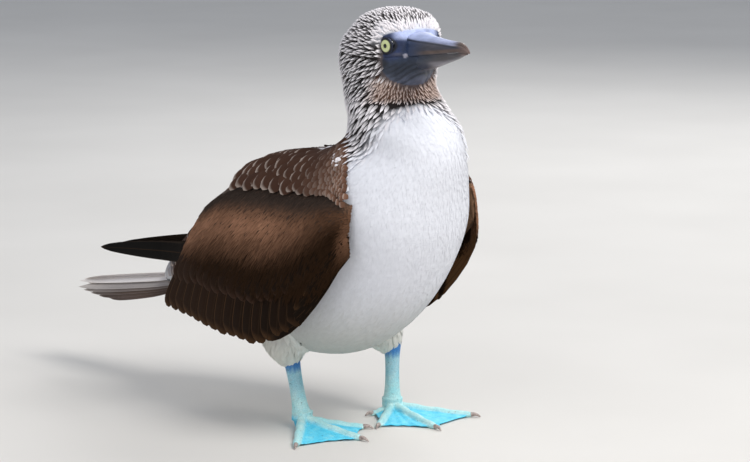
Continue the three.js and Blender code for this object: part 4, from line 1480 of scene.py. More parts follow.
@dataclass
class Wing:
    """A folded wing: its body, its coverts and its flight feathers."""

    side: Side
    core: tuple = ((0, -0.6), (0.06, 0.8), (0.3, 0.6), (0.45, -0.6), (0.55, -2.0), (0.66, -3.4), (1, -3.8))
    core_end: float = 0.66
    cover: tuple = ((0, -0.8), (0.05, 0.6), (0.3, 0.6), (0.5, 0.2), (0.7, 0.4), (1, 0.3))
    rows: tuple = (
        WingRow("secondaries", 16, (0.28, 0.955), (0.5, 0.995), (-2.6, 0.0), 1.5, ("#130b05", "#2b190c"),
                "#452f1c", 0.03),
        WingRow("greater_coverts", 19, (0.14, 0.95), (0.34, 0.72), (-1.8, 0.15), 1.5, ("#130b05", "#2b190c"),
                "#36241a", 0.02),
    )
    patch: Patch = field(default_factory=lambda: Patch(
        (13, 20), 2.6, 2.15, (0.6, 1.0, 0.8), (-0.7, 0.9), camber=0.2))
    scapular_span: tuple[float, float] = (0.07, 0.84)
    scapular_draws: tuple[int, int] = (9000, 260)  # in all, and of those along the wing's top edge
    scapular_gap: float = 9.6
    scapular_half: float = 9.4
    longest_step: float = 14  # between two points of a scapular's line, past which it has left the back
    covert_draws: int = 52000
    blades: int = 5  # long coverts of the hand, along the wing's lower front edge
    blade_gap: float = 4.6
    blade_half: float = 5.6
    out: float = 0.0  # how far the wing's front stands out past the wing form
    edge_light: float = 0.3  # share of painted warm light along the front edge
    edge_reach: float = 0.06  # how far back it goes, as a share of the wing

    def place(self, s: Array, t: Array, height: Array) -> tuple[Array, Array]:
        """Points over the wing's surface, on this wing's side.

        Args:
            s: Shares from front to back.
            t: Shares from top to hem.
            height: Height over the surface.

        Returns:
            Points and normals.
        """
        n = WING.normal(s, t)
        p = WING.surface(s, t) + n * np.asarray(height)[..., None]
        p[:, 0] += self.out * (1 - s)
        mirror = np.array((self.side.value, 1, 1))
        return p * mirror, n * mirror

    def lines(self, s: Array, t: Array, height: Array) -> tuple[Array, Array]:
        """Feather lines and their normals, from a row of places for each feather."""
        s, t, height = np.broadcast_arrays(s, t, height)
        line, normal = self.place(s.ravel(), t.ravel(), height.ravel())
        return line.reshape(*s.shape, 3), normal.reshape(*s.shape, 3)

    def core_height(self, t: Array) -> Array:
        """Height of the wing's body over its surface."""
        places, heights = np.array(self.core).T
        return np.interp(t, places, heights)

    def build_core(self, material: Material) -> None:
        """Makes the wing's body, which fills the room between its shoulder and the bird's side.

        Args:
            material: Its finish.
        """
        def surface(u: Array, v: Array) -> Array:
            outer = u <= 0.5
            t = np.where(outer, 2 * u, 2 - 2 * u) * self.core_end
            ends = np.clip(np.minimum(v / 0.2, (1 - v) / 0.06), 0.05, 1) ** 0.5
            depth = (5 + (7 + 16 * (1 - v) ** 2) * (1 - t ** 2)) * ends
            return self.place(v, t, np.where(outer, self.core_height(t), -depth))[0]
        name = f"wing_{self.side.word}"
        mesh = merged([wrapped(surface, 48, 60)], name)
        # Painted light: the body turns warmer and lighter with the front edge's painted light.
        colour = mix(linear("#33231a"), linear("#7a5a3f"), self.edge_light - 0.2)
        paint(mesh, "plumage", np.tile(colour, (len(mesh.vertices), 1)))
        tag(mesh, "bare", np.zeros(len(mesh.vertices)))
        piece(f"{name}_body", mesh, material, "wing_feathers", (name,))

    def build_row(self, row: WingRow, material: Material,
                  rng: Rng) -> None:
        """Makes a row of large feathers.

        Args:
            row: The row.
            material: Its finish.
            rng: Source of the draws.
        """
        k = np.array(row.stops)
        spacing = (row.span[1] - row.span[0]) / (row.count - 1)
        s0 = row.span[0] + spacing * np.arange(row.count)
        jitter = rng.uniform(-0.012, 0.008, row.count)
        t = row.reach[0] + (row.reach[1] + jitter[:, None] - row.reach[0]) * k
        s = s0[:, None] + row.shift * k ** 1.5
        height = row.height[0] + (row.height[1] - row.height[0]) * k
        line, normal = self.lines(s, t, height)
        middle = WING.surface(np.append(s0, s0 + spacing), np.full(2 * row.count, 0.8))
        half = np.linalg.norm(middle[row.count:] - middle[:row.count], axis=1) * row.width / 2
        half *= 0.75 + 0.25 * smoothstep(s0, 0.02, 0.2)
        dark, light = (linear(c) for c in row.colours)
        rear = smoothstep(s0, 0.2, 0.95)
        shade = mix(dark, light, 0.75 * rear + 0.25 * rng.random(row.count))
        shade = shade[:, None] * (0.9 + 0.2 * k)[None, :, None]
        margin = mix(dark * 1.4, linear(row.margin), 0.25 + 0.75 * smoothstep(s0, 0.15, 0.5))
        roll = np.full(row.count, -0.08 * self.side.value)
        uv = np.stack([s0, np.full(row.count, row.reach[0])], -1)
        vanes = Vanes(line, normal, half, row.widths, shade, margin, uv, 0.1, 4, roll, k)
        name = f"{row.name}_{self.side.word}"
        piece(name, vanes.mesh(name), material, "wing_feathers", sharp=40)

    def build_blades(self, material: Material, row: WingRow) -> None:
        """Makes the long coverts of the hand, fanned from the wrist along the lower front edge.

        Args:
            material: Their finish.
            row: The row whose stops and colours they share.
        """
        k = np.array(row.stops)
        i = np.arange(self.blades)[:, None]
        s = (0.46 - 0.05 * i) * k
        inset = self.blade_half * 0.75 + self.blade_gap * i
        top, hem = (WING.surface(s.ravel(), np.full(s.size, float(t))) for t in (0, 1))
        t = np.clip(1 - inset / np.linalg.norm(top - hem, axis=1).reshape(s.shape), 0.15, 1)
        line, normal = self.lines(s, t, -0.4 + 0.2 * i)
        widths = (0.45, 0.7, 0.9, 1, 1, 1, 0.95, 0.8, 0.5)
        # Painted light: the hand coverts turn warmer and lighter with the front edge's painted light.
        colour = mix(np.broadcast_to(linear(row.colours[0]), line.shape) * 1.3, linear("#7a5638"),
                     self.edge_light - 0.3)
        margin = np.tile(linear(row.margin) * 0.7, (self.blades, 1))
        uv = np.stack([np.zeros(self.blades), np.linspace(0.3, 0.9, self.blades)], -1)
        half, roll = (np.full(self.blades, value) for value in (self.blade_half, 0.05 * self.side.value))
        vanes = Vanes(line, normal, half, widths, colour, margin, uv, 0.12, 4, roll, k)
        name = f"hand_coverts_{self.side.word}"
        piece(name, vanes.mesh(name), material, "wing_feathers", sharp=40)

    def build_scapulars(self, material: Material, rng: Rng,
                        coat: Coat) -> None:
        """Makes the feathers that hang from the back over the wing's top edge.

        Args:
            material: Their finish.
            rng: Source of the draws.
            coat: The coat, for places on the skin.
        """
        n, edge = self.scapular_draws
        s, t = rng.uniform(*self.scapular_span, n), rng.uniform(-0.42, -0.005, n)
        t[:edge] = rng.uniform(-0.008, 0.008, edge) + 0.05 * (1 - smoothstep(s[:edge], 0.1, 0.25))
        size = 0.32 + 0.68 * smoothstep(s, 0.12, 0.5)
        kept = coat.thinned(self.place(s, t, 0 * s)[0], self.scapular_gap * size)
        s, t, size = s[kept], t[kept], size[kept]
        count, k = len(s), Patch((0, 0), 0, 0, ROUND_TIP).stops
        back = size[:, None] * (k - 1) * rng.uniform(0.9, 1.1, (count, 1))
        slope = 1 + 0.2 * rng.normal(0, 1, (count, 1))
        at, down = (s[:, None] + 0.1 * back).ravel(), (t[:, None] + 0.12 * back * slope).ravel()
        wing, out = self.place(at, down, 0 * at)
        skin, normal = coat.snap(wing)
        share = smoothstep(down, -0.45, 0.0)
        line, way = mix(skin, wing, share), unit(mix(normal, out, share))
        line, way = line.reshape(count, len(k), 3), way.reshape(count, len(k), 3)
        height = (1.5 * size[:, None] + 1.6) * k ** 0.7 + rng.uniform(-0.3, 0.3, (count, 1))
        line = line + way * height[..., None]
        step = np.linalg.norm(np.diff(line, axis=1), axis=2).max(1)
        whole = (step < self.longest_step) & (MARKINGS.back(line[:, -1], np.full(count, 0.5)) > 0.4)
        s, size, line, way = s[whole], size[whole], line[whole], way[whole]
        count = len(s)
        front = 1 - smoothstep(s, 0.1, 0.42)
        wobble = rng.random(count)
        ground = np.tile(linear(MARKINGS.mantle), (count, 1))
        rust = mix(ground, linear(MARKINGS.rust), 0.95 * front * (0.5 + 0.5 * wobble))
        colour = rust[:, None] * (0.75 + 0.4 * k)[None, :, None] * rng.uniform(0.85, 1.1, (count, 1, 1))
        bar = front[:, None] * smoothstep(k, 0.6, 0.95) * (0.3 + 0.4 * wobble[:, None])
        colour = mix(colour, linear(MARKINGS.mantle_edge), bar)
        edging = 0.25 + 0.65 * smoothstep(s, 0.28, 0.5) + 0.4 * (1 - smoothstep(s, 0.12, 0.3))
        margin = mix(rust, linear(MARKINGS.mantle_edge), edging * (0.6 + 0.4 * wobble))
        half = self.scapular_half * size * rng.uniform(0.9, 1.1, count)
        vanes = Vanes(line, way, half, ROUND_TIP, colour, margin, np.stack([s, 0 * s], -1), 0.2, 4,
                      rng.normal(0, 0.05, count), k)
        name = f"scapulars_{self.side.word}"
        piece(name, vanes.mesh(name), material, "wing_feathers", sharp=50)

    def build_coverts(self, material: Material, rng: Rng,
                      coat: Coat) -> None:
        """Makes the small coverts, hair-like over the upper half of the wing and down its front edge.

        Args:
            material: Their finish.
            rng: Source of the draws.
            coat: The coat, which thins the places.
        """
        n = self.covert_draws
        s, t = rng.uniform(-0.01, 0.985, n), rng.uniform(0.0, 0.96, n)
        low = np.interp(s, (0, 0.1, 0.25, 0.4, 0.8, 1), (0.95, 0.9, 0.72, 0.6, 0.5, 0.36))
        wanted = t < low + rng.normal(0, 0.02, n)
        s, t = s[wanted], t[wanted]
        roots, _ = self.place(s, t, np.zeros(len(s)))
        kept = coat.thinned(roots, self.patch.spacing * (0.7 + 0.3 * smoothstep(s, 0.03, 0.12)))
        s, t = s[kept], t[kept]
        k = self.patch.stops
        count, stations = len(s), len(k)
        length = rng.uniform(*self.patch.length, count) * (0.6 + 0.8 * np.clip(t, 0, 0.5))
        length *= 0.55 + 0.45 * smoothstep(s, 0.0, 0.12)
        lean = np.interp(t, (0, 0.5, 1), (38, 22, 34))
        slant = np.radians(lean + (60 - lean) * (1 - smoothstep(s, 0.02, 0.25)) + rng.normal(0, 5, count))
        across = s[:, None] + (length * np.sin(slant) / WING.length)[:, None] * k
        down = t[:, None] + (length * np.cos(slant) / WING.drop)[:, None] * k
        rise = self.patch.height[0] + (self.patch.height[1] - self.patch.height[0]) * k ** 0.8
        places, heights = np.array(self.cover).T
        height = np.interp(down, places, heights) + rise + rng.uniform(-0.15, 0.15, count)[:, None]
        line, normal = self.lines(across, down, height)
        cloud = 0.5 + 0.5 * np.sin(s * 23 + 3 * np.sin(t * 9)) * np.sin(t * 17 + 2 * np.sin(s * 11))
        late = t - 0.07 * smoothstep(s, 0.65, 0.95)
        band = smoothstep(t, 0.03, 0.2) * (1 - smoothstep(late, 0.12, 0.47))
        band = band * (0.25 + 0.75 * smoothstep(s, 0.08, 0.5))
        # Painted light: a warm, light band down the front edge.
        front = smoothstep(-s, -self.edge_reach, 0.0) * smoothstep(-t, -1.1, -0.6)
        band = np.maximum(band, self.edge_light * front)
        top, warm, dark = linear("#3a302a"), linear("#a87b60"), linear("#28190d")
        ground = mix(dark, top, 1 - smoothstep(t, 0.05, 0.17))
        shade = mix(ground, warm, np.clip(band * (0.5 + 0.25 * rng.random(count) + 0.3 * cloud), 0, 1))
        colour = shade[:, None] * np.linspace(0.86, 1.1, stations)[None, :, None]
        half = self.patch.width * rng.uniform(0.7, 1.1, count) / 2
        roll = rng.normal(0, 0.12, count)
        vanes = Vanes(line, normal, half, self.patch.profile, colour, shade * 1.2, np.stack([s, t], -1),
                      self.patch.camber, 2, roll, k)
        name = f"wing_coverts_{self.side.word}"
        piece(name, vanes.mesh(name), material, "wing_feathers", sharp=75)


@dataclass
class Primaries:
    """Folded primaries, one blade of long feathers from under the wing."""

    side: Side
    # x, y, z of the blade's middle
    blade: tuple = (
        (50.5, 152, 162), (49, 190, 157), (43, 228, 152), (34, 268, 147), (25, 308, 142), (17, 346, 137),
        (15, 363, 135),
    )
    count: int = 6
    step: tuple = (16, 1.3)  # how far each tip falls short of the last, and stands higher
    pitch: float = 1.15
    half: float = 11.5

    def build(self, material: Material) -> None:
        """Makes the piece.

        Args:
            material: Its finish.
        """
        stations = 12
        k = np.linspace(0, 1, stations)
        i = np.arange(self.count)[:, None]
        at = blend_rows(self.blade, np.tile(k, self.count) * (len(self.blade) - 1))
        at = at.reshape(self.count, stations, 3)
        at[..., 0] += (i - (self.count - 1) / 2) * self.pitch
        at[..., 1] -= self.step[0] * i * k
        at[..., 2] += self.step[1] * i * k
        at = at * np.array((self.side.value, 1, 1))
        normal = np.broadcast_to(np.array((float(self.side.value), 0, 0)), at.shape)
        profile = (1, 0.98, 0.94, 0.9, 0.86, 0.81, 0.74, 0.65, 0.53, 0.38, 0.2)
        shade = mix(linear("#0a0705"), linear("#130d09"), np.linspace(0, 1, self.count))[:, None]
        uv = np.stack([np.linspace(0.3, 0.7, self.count), np.full(self.count, 0.2)], -1)
        vanes = Vanes(at, normal, np.full(self.count, self.half), profile, shade * np.ones((1, stations, 1)),
                      np.tile(linear("#2b211a"), (self.count, 1)), uv, 0.07, 4)
        name = f"primaries_{self.side.word}"
        piece(name, vanes.mesh(name), material, "flight_feathers", (name,), sharp=40)


@dataclass
class Tail:
    """Wedge tail of pointed feathers, sloping down to both sides like a roof."""

    top: tuple = (250, 119.5, -0.165)  # y, z and slope of the ridge
    lengths: tuple = (161, 157, 146, 130, 110, 88)
    roof: float = 33
    pitch: float = 1.25
    spread: tuple = (1.6, 4.3)
    half: float = 8.5
    pale: tuple = (0.95, 0.36, 0.1, 0.0, 0.0, 0.0)  # share of white in each feather, and at its tip
    pale_tip: tuple = (0.9, 0.62, 0.3, 0.1, 0.0, 0.0)

    def line(self, length: Array, across: Array, depth: Array) -> Array:
        """Points by length, distance across the ridge and depth under it."""
        a = math.radians(self.roof)
        y, z, slope = self.top
        return np.stack([across * math.cos(a), y + length,
                         z + slope * length - np.abs(across) * math.sin(a) - depth], -1)

    def build(self, material: Material, rng: Rng) -> None:
        """Makes the piece.

        Args:
            material: Its finish.
            rng: Source of the draws.
        """
        stations = 10
        k = np.linspace(0, 1, stations)
        lines, normals, colours, margins = [], [], [], []
        tilt = math.radians(self.roof)
        for sign in (1, -1):
            for i, length in enumerate(self.lengths):
                near = 0.6 + (self.spread[0] + (self.spread[1] - self.spread[0]) * k) * max(i - 1, 0)
                middle = near + self.half if i else np.full(stations, 3.2 - 1.5 * k)
                depth = (i + 1) * self.pitch if i else (0.0 if sign > 0 else 0.7)
                droop = 3.0 * k ** 2 * rng.uniform(-0.3, 1)
                lines.append(self.line(k * (length + rng.uniform(-3, 3)), sign * middle, depth + droop))
                flat = 0.8 if i == 0 else 1.0
                normals.append(np.tile((sign * math.sin(tilt) * flat, 0, math.cos(tilt)), (stations, 1)))
                base = mix(linear("#4f3b2f"), linear("#e4dfde"), self.pale[i])
                end = mix(linear("#3f2d22"), linear("#e2dad4"), self.pale_tip[i])
                colours.append(mix(base, end, smoothstep(k, 0.5, 1)))
                paleness = (self.pale[i] + self.pale_tip[i]) / 2
                margins.append(mix(linear("#66554a"), linear("#e6dfd9"), paleness))
        profile = (0.7, 0.92, 1, 1, 1, 0.96, 0.9, 0.78, 0.5)
        count = len(lines)
        uv = np.stack([np.linspace(0.2, 0.8, count), np.full(count, 0.9)], -1)
        line, normal, colour, margin = (np.array(rows) for rows in (lines, normals, colours, margins))
        vanes = Vanes(line, normal, np.full(count, self.half), profile, colour, margin, uv, 0.08, 4)
        piece("tail", vanes.mesh("tail"), material, "tail_feathers", ("tail",), sharp=40)


# Legs and feet.

@dataclass
class Leg:
    """A leg from its thigh to its claws. Toes head outwards from straight ahead by a number of degrees."""

    side: Side
    hip: tuple
    hock: tuple
    ankle: tuple
    toes: dict
    lengths: dict = field(default_factory=lambda: {"outer": 84, "middle": 82, "inner": 64, "hind": 25})
    radii: dict = field(default_factory=lambda: {"outer": 4.2, "middle": 4.4, "inner": 4.0, "hind": 3.2})
    claws: dict = field(default_factory=lambda: {"outer": 7, "middle": 8.5, "inner": 7.5, "hind": 6})
    thigh: tuple = (26, 26, 24.5, 20, 12.5)
    tarsus: tuple = (9.0, 7.8, 7.2, 7.3, 8.2, 10.8)
    heel: tuple = (10.8, 9.4, 7.2)
    root_z: float = 9
    web: float = 1.5  # thickness
    hollow: float = 0.1  # how far the web's front edge falls back, as a share of the toes
    sag: float = 0.9
    voxel: float = 0.85
    passes: int = 3  # of smoothing

    def spot(self, place: tuple) -> Array:
        """A place given on the leg's own side."""
        return np.array((self.side.value * place[0], place[1], place[2]), float)

    def way(self, toe: str) -> Array:
        """Direction of a toe on the floor."""
        a = math.radians(self.toes[toe])
        return np.array((self.side.value * math.sin(a), -math.cos(a), 0.0))

    def tube(self, line: Callable[[Array], Array], radius: Callable[[Array], Array]) -> BMesh:
        """Round tube along a line.

        Args:
            line: Gives the line's points at shares of its length.
            radius: Gives the radius there.

        Returns:
            The tube, closed at both ends.
        """
        def surface(u: Array, v: Array) -> Array:
            at = line(v)
            along = unit(line(v + 0.01) - line(v - 0.01))
            helper = np.where(np.abs(along[:, 2:]) > 0.7, (0.0, 1.0, 0.0), (0.0, 0.0, 1.0))
            a = unit(np.cross(helper, along))
            b = np.cross(along, a)
            turn, r = u * TURN, radius(v)
            return at + a * (r * np.cos(turn))[:, None] + b * (r * np.sin(turn))[:, None]
        return wrapped(surface, 24, 48)

    def limb(self, start: Array, end: Array, radii: tuple) -> BMesh:
        """Straight tapering limb."""
        sizes = np.array(radii, float)[:, None]
        return self.tube(lambda v: start + (end - start) * v[:, None],
                         lambda v: blend_rows(sizes, v * (len(radii) - 1))[:, 0])

    def build_thigh(self) -> BMesh:
        """The thigh's body, a little inside its plumage."""
        shrunk = tuple(r - 3 for r in self.thigh)
        return self.limb(self.spot(self.hip), self.spot(self.hock) + (0, 0, 1), shrunk)

    def toe_point(self, toe: str, t: Array) -> Array:
        """Points on a toe's line."""
        end = self.radii[toe] * 0.62
        at = self.spot((*self.ankle[:2], 0)) + self.way(toe) * (self.lengths[toe] * t)[:, None]
        at[:, 2] = self.root_z + (end - self.root_z) * np.clip(t * 1.15, 0, 1) ** 0.8
        return at

    def toe(self, name: str) -> BMesh:
        """A toe, a little swollen at its joints."""
        def radius(v: Array) -> Array:
            knuckles = 1 + 0.1 * np.cos(TURN * v * 3.5) * smoothstep(v, 0.1, 0.3)
            end = np.sqrt(np.clip((1.0 - v) / 0.06, 0.02, 1))
            return self.radii[name] * (1.2 - 0.45 * v) * knuckles * end
        return self.tube(lambda v: self.toe_point(name, v * 1.03 - 0.03), radius)

    def web_sheet(self, first: str, second: str, reach: float) -> BMesh:
        """Web between two toes, with faint creases.

        Args:
            first: One toe.
            second: The other.
            reach: How far along the toes it goes, as a share.

        Returns:
            The web.
        """
        def surface(u: Array, v: Array) -> Array:
            top = u <= 0.5
            across = np.where(top, 2 * u, 2 - 2 * u)
            t = v * (reach - 4 * self.hollow * across * (1 - across))
            a, b = self.toe_point(first, t), self.toe_point(second, t)
            at = a + (b - a) * across[:, None]
            crease = 0.35 * np.sin(across * 26) * smoothstep(t, 0.1, 0.5)
            at[:, 2] += crease - self.sag * 4 * across * (1 - across) + np.where(top, 0.5, -0.5) * self.web
            return at
        return wrapped(surface, 80, 60)

    def build_foot(self, material: Material) -> None:
        """Makes the bare leg and foot.

        Args:
            material: Its finish.
        """
        ankle = self.spot(self.ankle)
        parts = [self.toe(name) for name in self.toes]
        parts += [self.web_sheet("outer", "middle", 0.98), self.web_sheet("middle", "inner", 0.98),
                  self.web_sheet("inner", "hind", 0.8)]
        parts.append(self.limb(self.spot(self.hock) + (0, 0, 9), ankle, self.tarsus))
        parts.append(self.limb(ankle + (0, 0, 8), ankle * (1, 1, 0) + (0, 0, 1), self.heel))
        name = f"leg_{self.side.word}"
        mesh = fused(merged(parts, name), self.voxel, self.passes)
        points = bird_points(mesh)
        points[:, 2] = np.maximum(points[:, 2], 0.0)
        set_points(mesh, points)
        ridge = np.zeros(len(points))
        for toe in self.toes:
            t = np.clip((points - self.spot((*self.ankle[:2], 0))) @ self.way(toe) / self.lengths[toe], 0, 1)
            away = np.linalg.norm(points[:, :2] - self.toe_point(toe, t)[:, :2], axis=1)
            ridge = np.maximum(ridge, smoothstep(-away, -6.5, -3))
        ridge = np.maximum(ridge, smoothstep(points[:, 2], 9, 16))
        # Painted shade: the tarsus is deeper blue just under the thigh's feathers, and a little deeper all up
        # its upper part.
        ragged = 0.8 * np.sin(points[:, 0] * 2.1) + 0.8 * np.sin(points[:, 1] * 1.7 + 1)
        shade = smoothstep(points[:, 2] + ragged, self.hock[2] - 13, self.hock[2] + 1)
        shade = np.maximum(shade, 0.26 * smoothstep(points[:, 2], 22, self.hock[2] - 10))
        tag(mesh, "ridge", ridge)
        tag(mesh, "shade", shade)
        piece(name, mesh, material, "leg_skin", (f"tarsus_{self.side.word}", f"foot_{self.side.word}"))

    def build_claw(self, toe: str, material: Material) -> None:
        """Makes a curved claw.

        Args:
            toe: Its toe.
            material: Its finish.
        """
        way, length = self.way(toe), self.claws[toe]
        start = self.spot((*self.ankle[:2], 0)) + way * (self.lengths[toe] - 2.5)

        def line(v: Array) -> Array:
            at = start + way * (v * (length + 2.5))[:, None]
            at[:, 2] = 2.8 + 1.4 * np.sin(np.pi * v) - 2.0 * v
            return at
        name = f"claw_{toe}_{self.side.word}"
        mesh = merged([self.tube(line, lambda v: 2.1 * (1 - v) ** 0.6 + 0.25)], name)
        piece(name, mesh, material, "claw", (name,))


# The whole bird.

def even(points: Array) -> Array:
    """The same size everywhere."""
    return np.ones(len(points))


def mantle_size(points: Array) -> Array:
    """Size of the feathers of mantle and back, small by the neck and shoulders."""
    return 0.3 + 0.7 * smoothstep(points[:, 1] + 60 + 0.3 * np.abs(points[:, 0]), 25, 130)


def under_wing(points: Array) -> Array:
    """Tells which points lie well under a wing."""
    top = WING.surface(np.linspace(0.06, 0.97, 12), np.full(12, 0.12))[:, 1:]
    low = WING.surface(np.linspace(0.97, 0.06, 12), np.full(12, 0.86))[:, 1:]
    outline = np.concatenate([top, low])
    return inside(outline, points[:, 1], points[:, 2]) & (np.abs(points[:, 0]) > 30)


class Zone(Enum):
    """Where a kind of plumage grows. No point of the body is in two zones."""

    FOREHEAD = "white band over bill and eyes"
    CHIN = "ruddy ring under the pouch"
    CROWN = "top of the head"
    CHEEK = "sides of the head and its nape"
    NECK = "sides and back of the neck, with longer feathers"
    WHITE = "fore neck, breast, belly and flanks"
    BROWN = "mantle and back, but for what the wings hide"

    def holds(self, points: Array) -> Array:
        """Tells which points are in the zone.

        Args:
            points: Places in the bird's frame.

        Returns:
            True for those in it.
        """
        first, second = np.array((2.9, 2.3, 3.7)), np.array((-1.3, 3.1, 1.9))
        ragged = 0.5 + 0.5 * np.sin(points @ first) * np.sin(points @ second)  # zones meet in a ragged edge
        back = MARKINGS.back(points, ragged) > 0.5
        feathered = HEAD.past_edge(points) < 1.8
        streaked = (MARKINGS.streaked(points, ragged) > 0.15) & feathered & ~back & (points[:, 2] > 250)
        if self is Zone.WHITE:
            return feathered & ~streaked & ~back & ~under_wing(points)
        if self is Zone.BROWN:
            return back & ~under_wing(points)
        forehead = streaked & (MARKINGS.forehead(points) > 0.5)
        chin = streaked & (MARKINGS.bib(points) > 0.4) & ~forehead
        f, _, z = HEAD.local(points)
        crown = streaked & (z + 0.35 * f > 20) & ~forehead & ~chin
        rest, high = streaked & ~(forehead | chin | crown), points[:, 2] > 338
        return {Zone.FOREHEAD: forehead, Zone.CHIN: chin, Zone.CROWN: crown, Zone.CHEEK: rest & high,
                Zone.NECK: rest & ~high}[self]


@dataclass
class Bird:
    """The whole bird, built in order."""

    legs: tuple = (
        Leg(Side.LEFT, (58, 24, 110), (65.5, -1, 66), (65.5, -1, 9),
            {"outer": 33, "middle": -13, "inner": -58, "hind": -108}),
        Leg(Side.RIGHT, (44, 46, 106), (36, 41, 61), (40.5, 20, 9),
            {"outer": 48, "middle": -2, "inner": -38, "hind": -88}),
    )
    thigh_draws: int = 3000
    far_wing: Side = Side.LEFT  # stands further out in the photo, and its front edge has more painted warm light

    def build_plumage(self, coat: Coat, small: Material, silky: Material,
                      scalloped: Material) -> None:
        """Makes the plumage of head, neck and body.

        Args:
            coat: Lays the feathers.
            small: Finish on head and neck.
            silky: Finish of the white plumage.
            scalloped: Finish on mantle and back.
        """
        calm = {"roll": 0.01, "spread": 0.06, "pale_from": (0, 0.4), "variety": (0.97, 1.02),
                "uneven": 0.03, "smooth": True}
        kinds = (
            ("forehead_feathers", 10, (12.8, 19), Zone.FOREHEAD.holds, small, "neck_feathers",
             Patch((4.5, 6), 2.1, 1.9, (0.7, 1.0, 0.7), (-0.7, 2.2), 0.3, pale_from=(0, 0.4))),
            ("crown_feathers", 11, (13, 19), Zone.CROWN.holds, small, "neck_feathers",
             Patch((5, 7.5), 1.9, 2.5, (0.6, 1.0, 0.7), (-0.7, 2.9), 0.5, spread=0.16,
                   pale_from=(0.25, 0.65))),
            ("cheek_feathers", 12, (12.4, 19), Zone.CHEEK.holds, small, "neck_feathers",
             Patch((7.5, 10.5), 2.0, 3.05, (0.6, 1.0, 0.75), (-0.7, 3.1), 0.5, spread=0.13,
                   pale_from=(0.25, 0.65))),
            ("chin_feathers", 13, (11.5, 18), Zone.CHIN.holds, small, "neck_feathers",
             Patch((5, 7.5), 1.7, 2.0, (0.6, 1.0, 0.75), (-0.7, 2.8), 0.5, pale_from=(0.15, 0.7),
                   variety=(0.8, 1.1))),
            ("neck_feathers", 14, (8.6, 12.6), Zone.NECK.holds, small, "neck_feathers",
             Patch((9.5, 13), 3.0, 3.9, (0.55, 1.0, 0.85), (-0.7, 3.2), 0.45, spread=0.14,
                   pale_from=(0.15, 0.52))),
            ("breast_feathers", 15, (5.0, 14), Zone.WHITE.holds, silky, "body_feathers",
             Patch((11, 16), 3.8, 2.6, (0.6, 1.0, 0.8), (-0.3, 0.3), 0.03, **calm)),
            ("belly_feathers", 16, (0.2, 5.05), Zone.WHITE.holds, silky, "body_feathers",
             Patch((13, 19), 4.8, 3.2, (0.6, 1.0, 0.8), (-0.3, 0.3), 0.03, **calm)),
        )
        for name, seed, places, keep, material, slot, patch in kinds:
            rng = np.random.default_rng(seed)
            points, uv = coat.scatter(rng, places, patch.spacing, keep, even)
            vanes = coat.feathers(rng, points, uv, patch)
            made = piece(name, vanes.mesh(name), material, slot, sharp=None if patch.smooth else 75)
            if patch.smooth:
                vanes.lie_smooth(made.data)
        rng = np.random.default_rng(17)
        patch = Patch((30, 35), 19.0, 9.5, ROUND_TIP, (-0.8, 4.0), 0.2, 4, spread=0.07, roll=0.05,
                      pale_from=(0.1, 0.8), margin=MARKINGS.mantle_edge)
        points, uv = coat.scatter(rng, (0.3, 10.8), patch.spacing, Zone.BROWN.holds, mantle_size)
        mesh = coat.feathers(rng, points, uv, patch, mantle_size(points)).mesh("back_feathers")
        piece("back_feathers", mesh, scalloped, "wing_feathers", sharp=50)

    def build_thighs(self, coat: Coat, material: Material) -> None:
        """Makes the white plumage of the thighs.

        Args:
            coat: Lays the feathers.
            material: Their finish.
        """
        for leg in self.legs:
            rng = np.random.default_rng(20 + leg.side.value)
            patch = Patch((10, 15), 4.0, 2.6, (0.6, 1.0, 0.8), (-0.6, 2.2), 0.15, roll=0.06,
                          variety=(1.4, 1.55))
            start, end = leg.spot(leg.hip), leg.spot(leg.hock) + (0, 0, 2)
            n = self.thigh_draws
            v, turn = rng.uniform(0.1, 1.0, n), rng.uniform(0, TURN, n)
            radius = np.interp(v * 4, range(5), leg.thigh)
            points = start + (end - start) * v[:, None]
            points[:, 0] += radius * np.cos(turn)
            points[:, 1] += radius * np.sin(turn)
            kept = coat.thinned(points, np.full(n, patch.spacing))
            uv = np.stack([turn / (TURN), v], -1)[kept]
            name = f"thigh_feathers_{leg.side.word}"
            mesh = coat.feathers(rng, points[kept], uv, patch).mesh(name)
            piece(name, mesh, material, "body_feathers", sharp=75)

    def build(self) -> None:
        """Builds and dresses every piece."""
        # Loose barbs scatter the light: no highlight, only a soft rim.
        soft = FeatherFinish("small body feathers of matt keratin", 0.85, barbs=7, slant=4, bump=0.2).build()
        # Dense short barbs: an even white with hardly a line, and no margins.
        silky = FeatherFinish("dense white body feathers of matt keratin", 0.9, barbs=5, slant=3, bump=0.06,
                              edge=(2.0, 3.0)).build()
        # Firm vanes with worn tips: matt brown, each with a pale crescent.
        scallop = FeatherFinish("scapular feathers of matt keratin with worn pale edges", 0.8, barbs=16,
                                slant=8, edge=(0.83, 0.96), sheen=0.0, gloss=0.1, crescent=0.1).build()
        # Hair-like barbs: dark and dull, streaked along the wing.
        covert = FeatherFinish("hair-like wing coverts of matt keratin", 0.75, barbs=7, slant=4, sheen=0.0,
                               gloss=0.05).build()
        # Stiff hooked barbs: satin, with fine slanting lines and a dark or a pale shaft.
        flight = FeatherFinish("stiff flight feathers of satin keratin", 0.6, barbs=60, slant=12,
                               edge=(0.86, 0.97), shaft=0.03, shaft_colour="#2e2014", sheen=0.0,
                               gloss=0.05).build()
        rectrix = FeatherFinish("tail feathers of satin keratin with pale shafts", 0.6, barbs=60, slant=12,
                                edge=(0.86, 0.98), shaft=0.035, shaft_colour="#cfc5bc", sheen=0.05).build()
        skin_finish = SkinFinish("bird skin, slate blue where bare", 0.5).build()
        horn = HornFinish("satin horn of the bill", 0.36).build()
        eye = EyeFinish("wet eyeball", 0.15).build()
        leg_skin = LegFinish("satin scaly leg skin", 0.45).build()
        claw = CLAW.build()

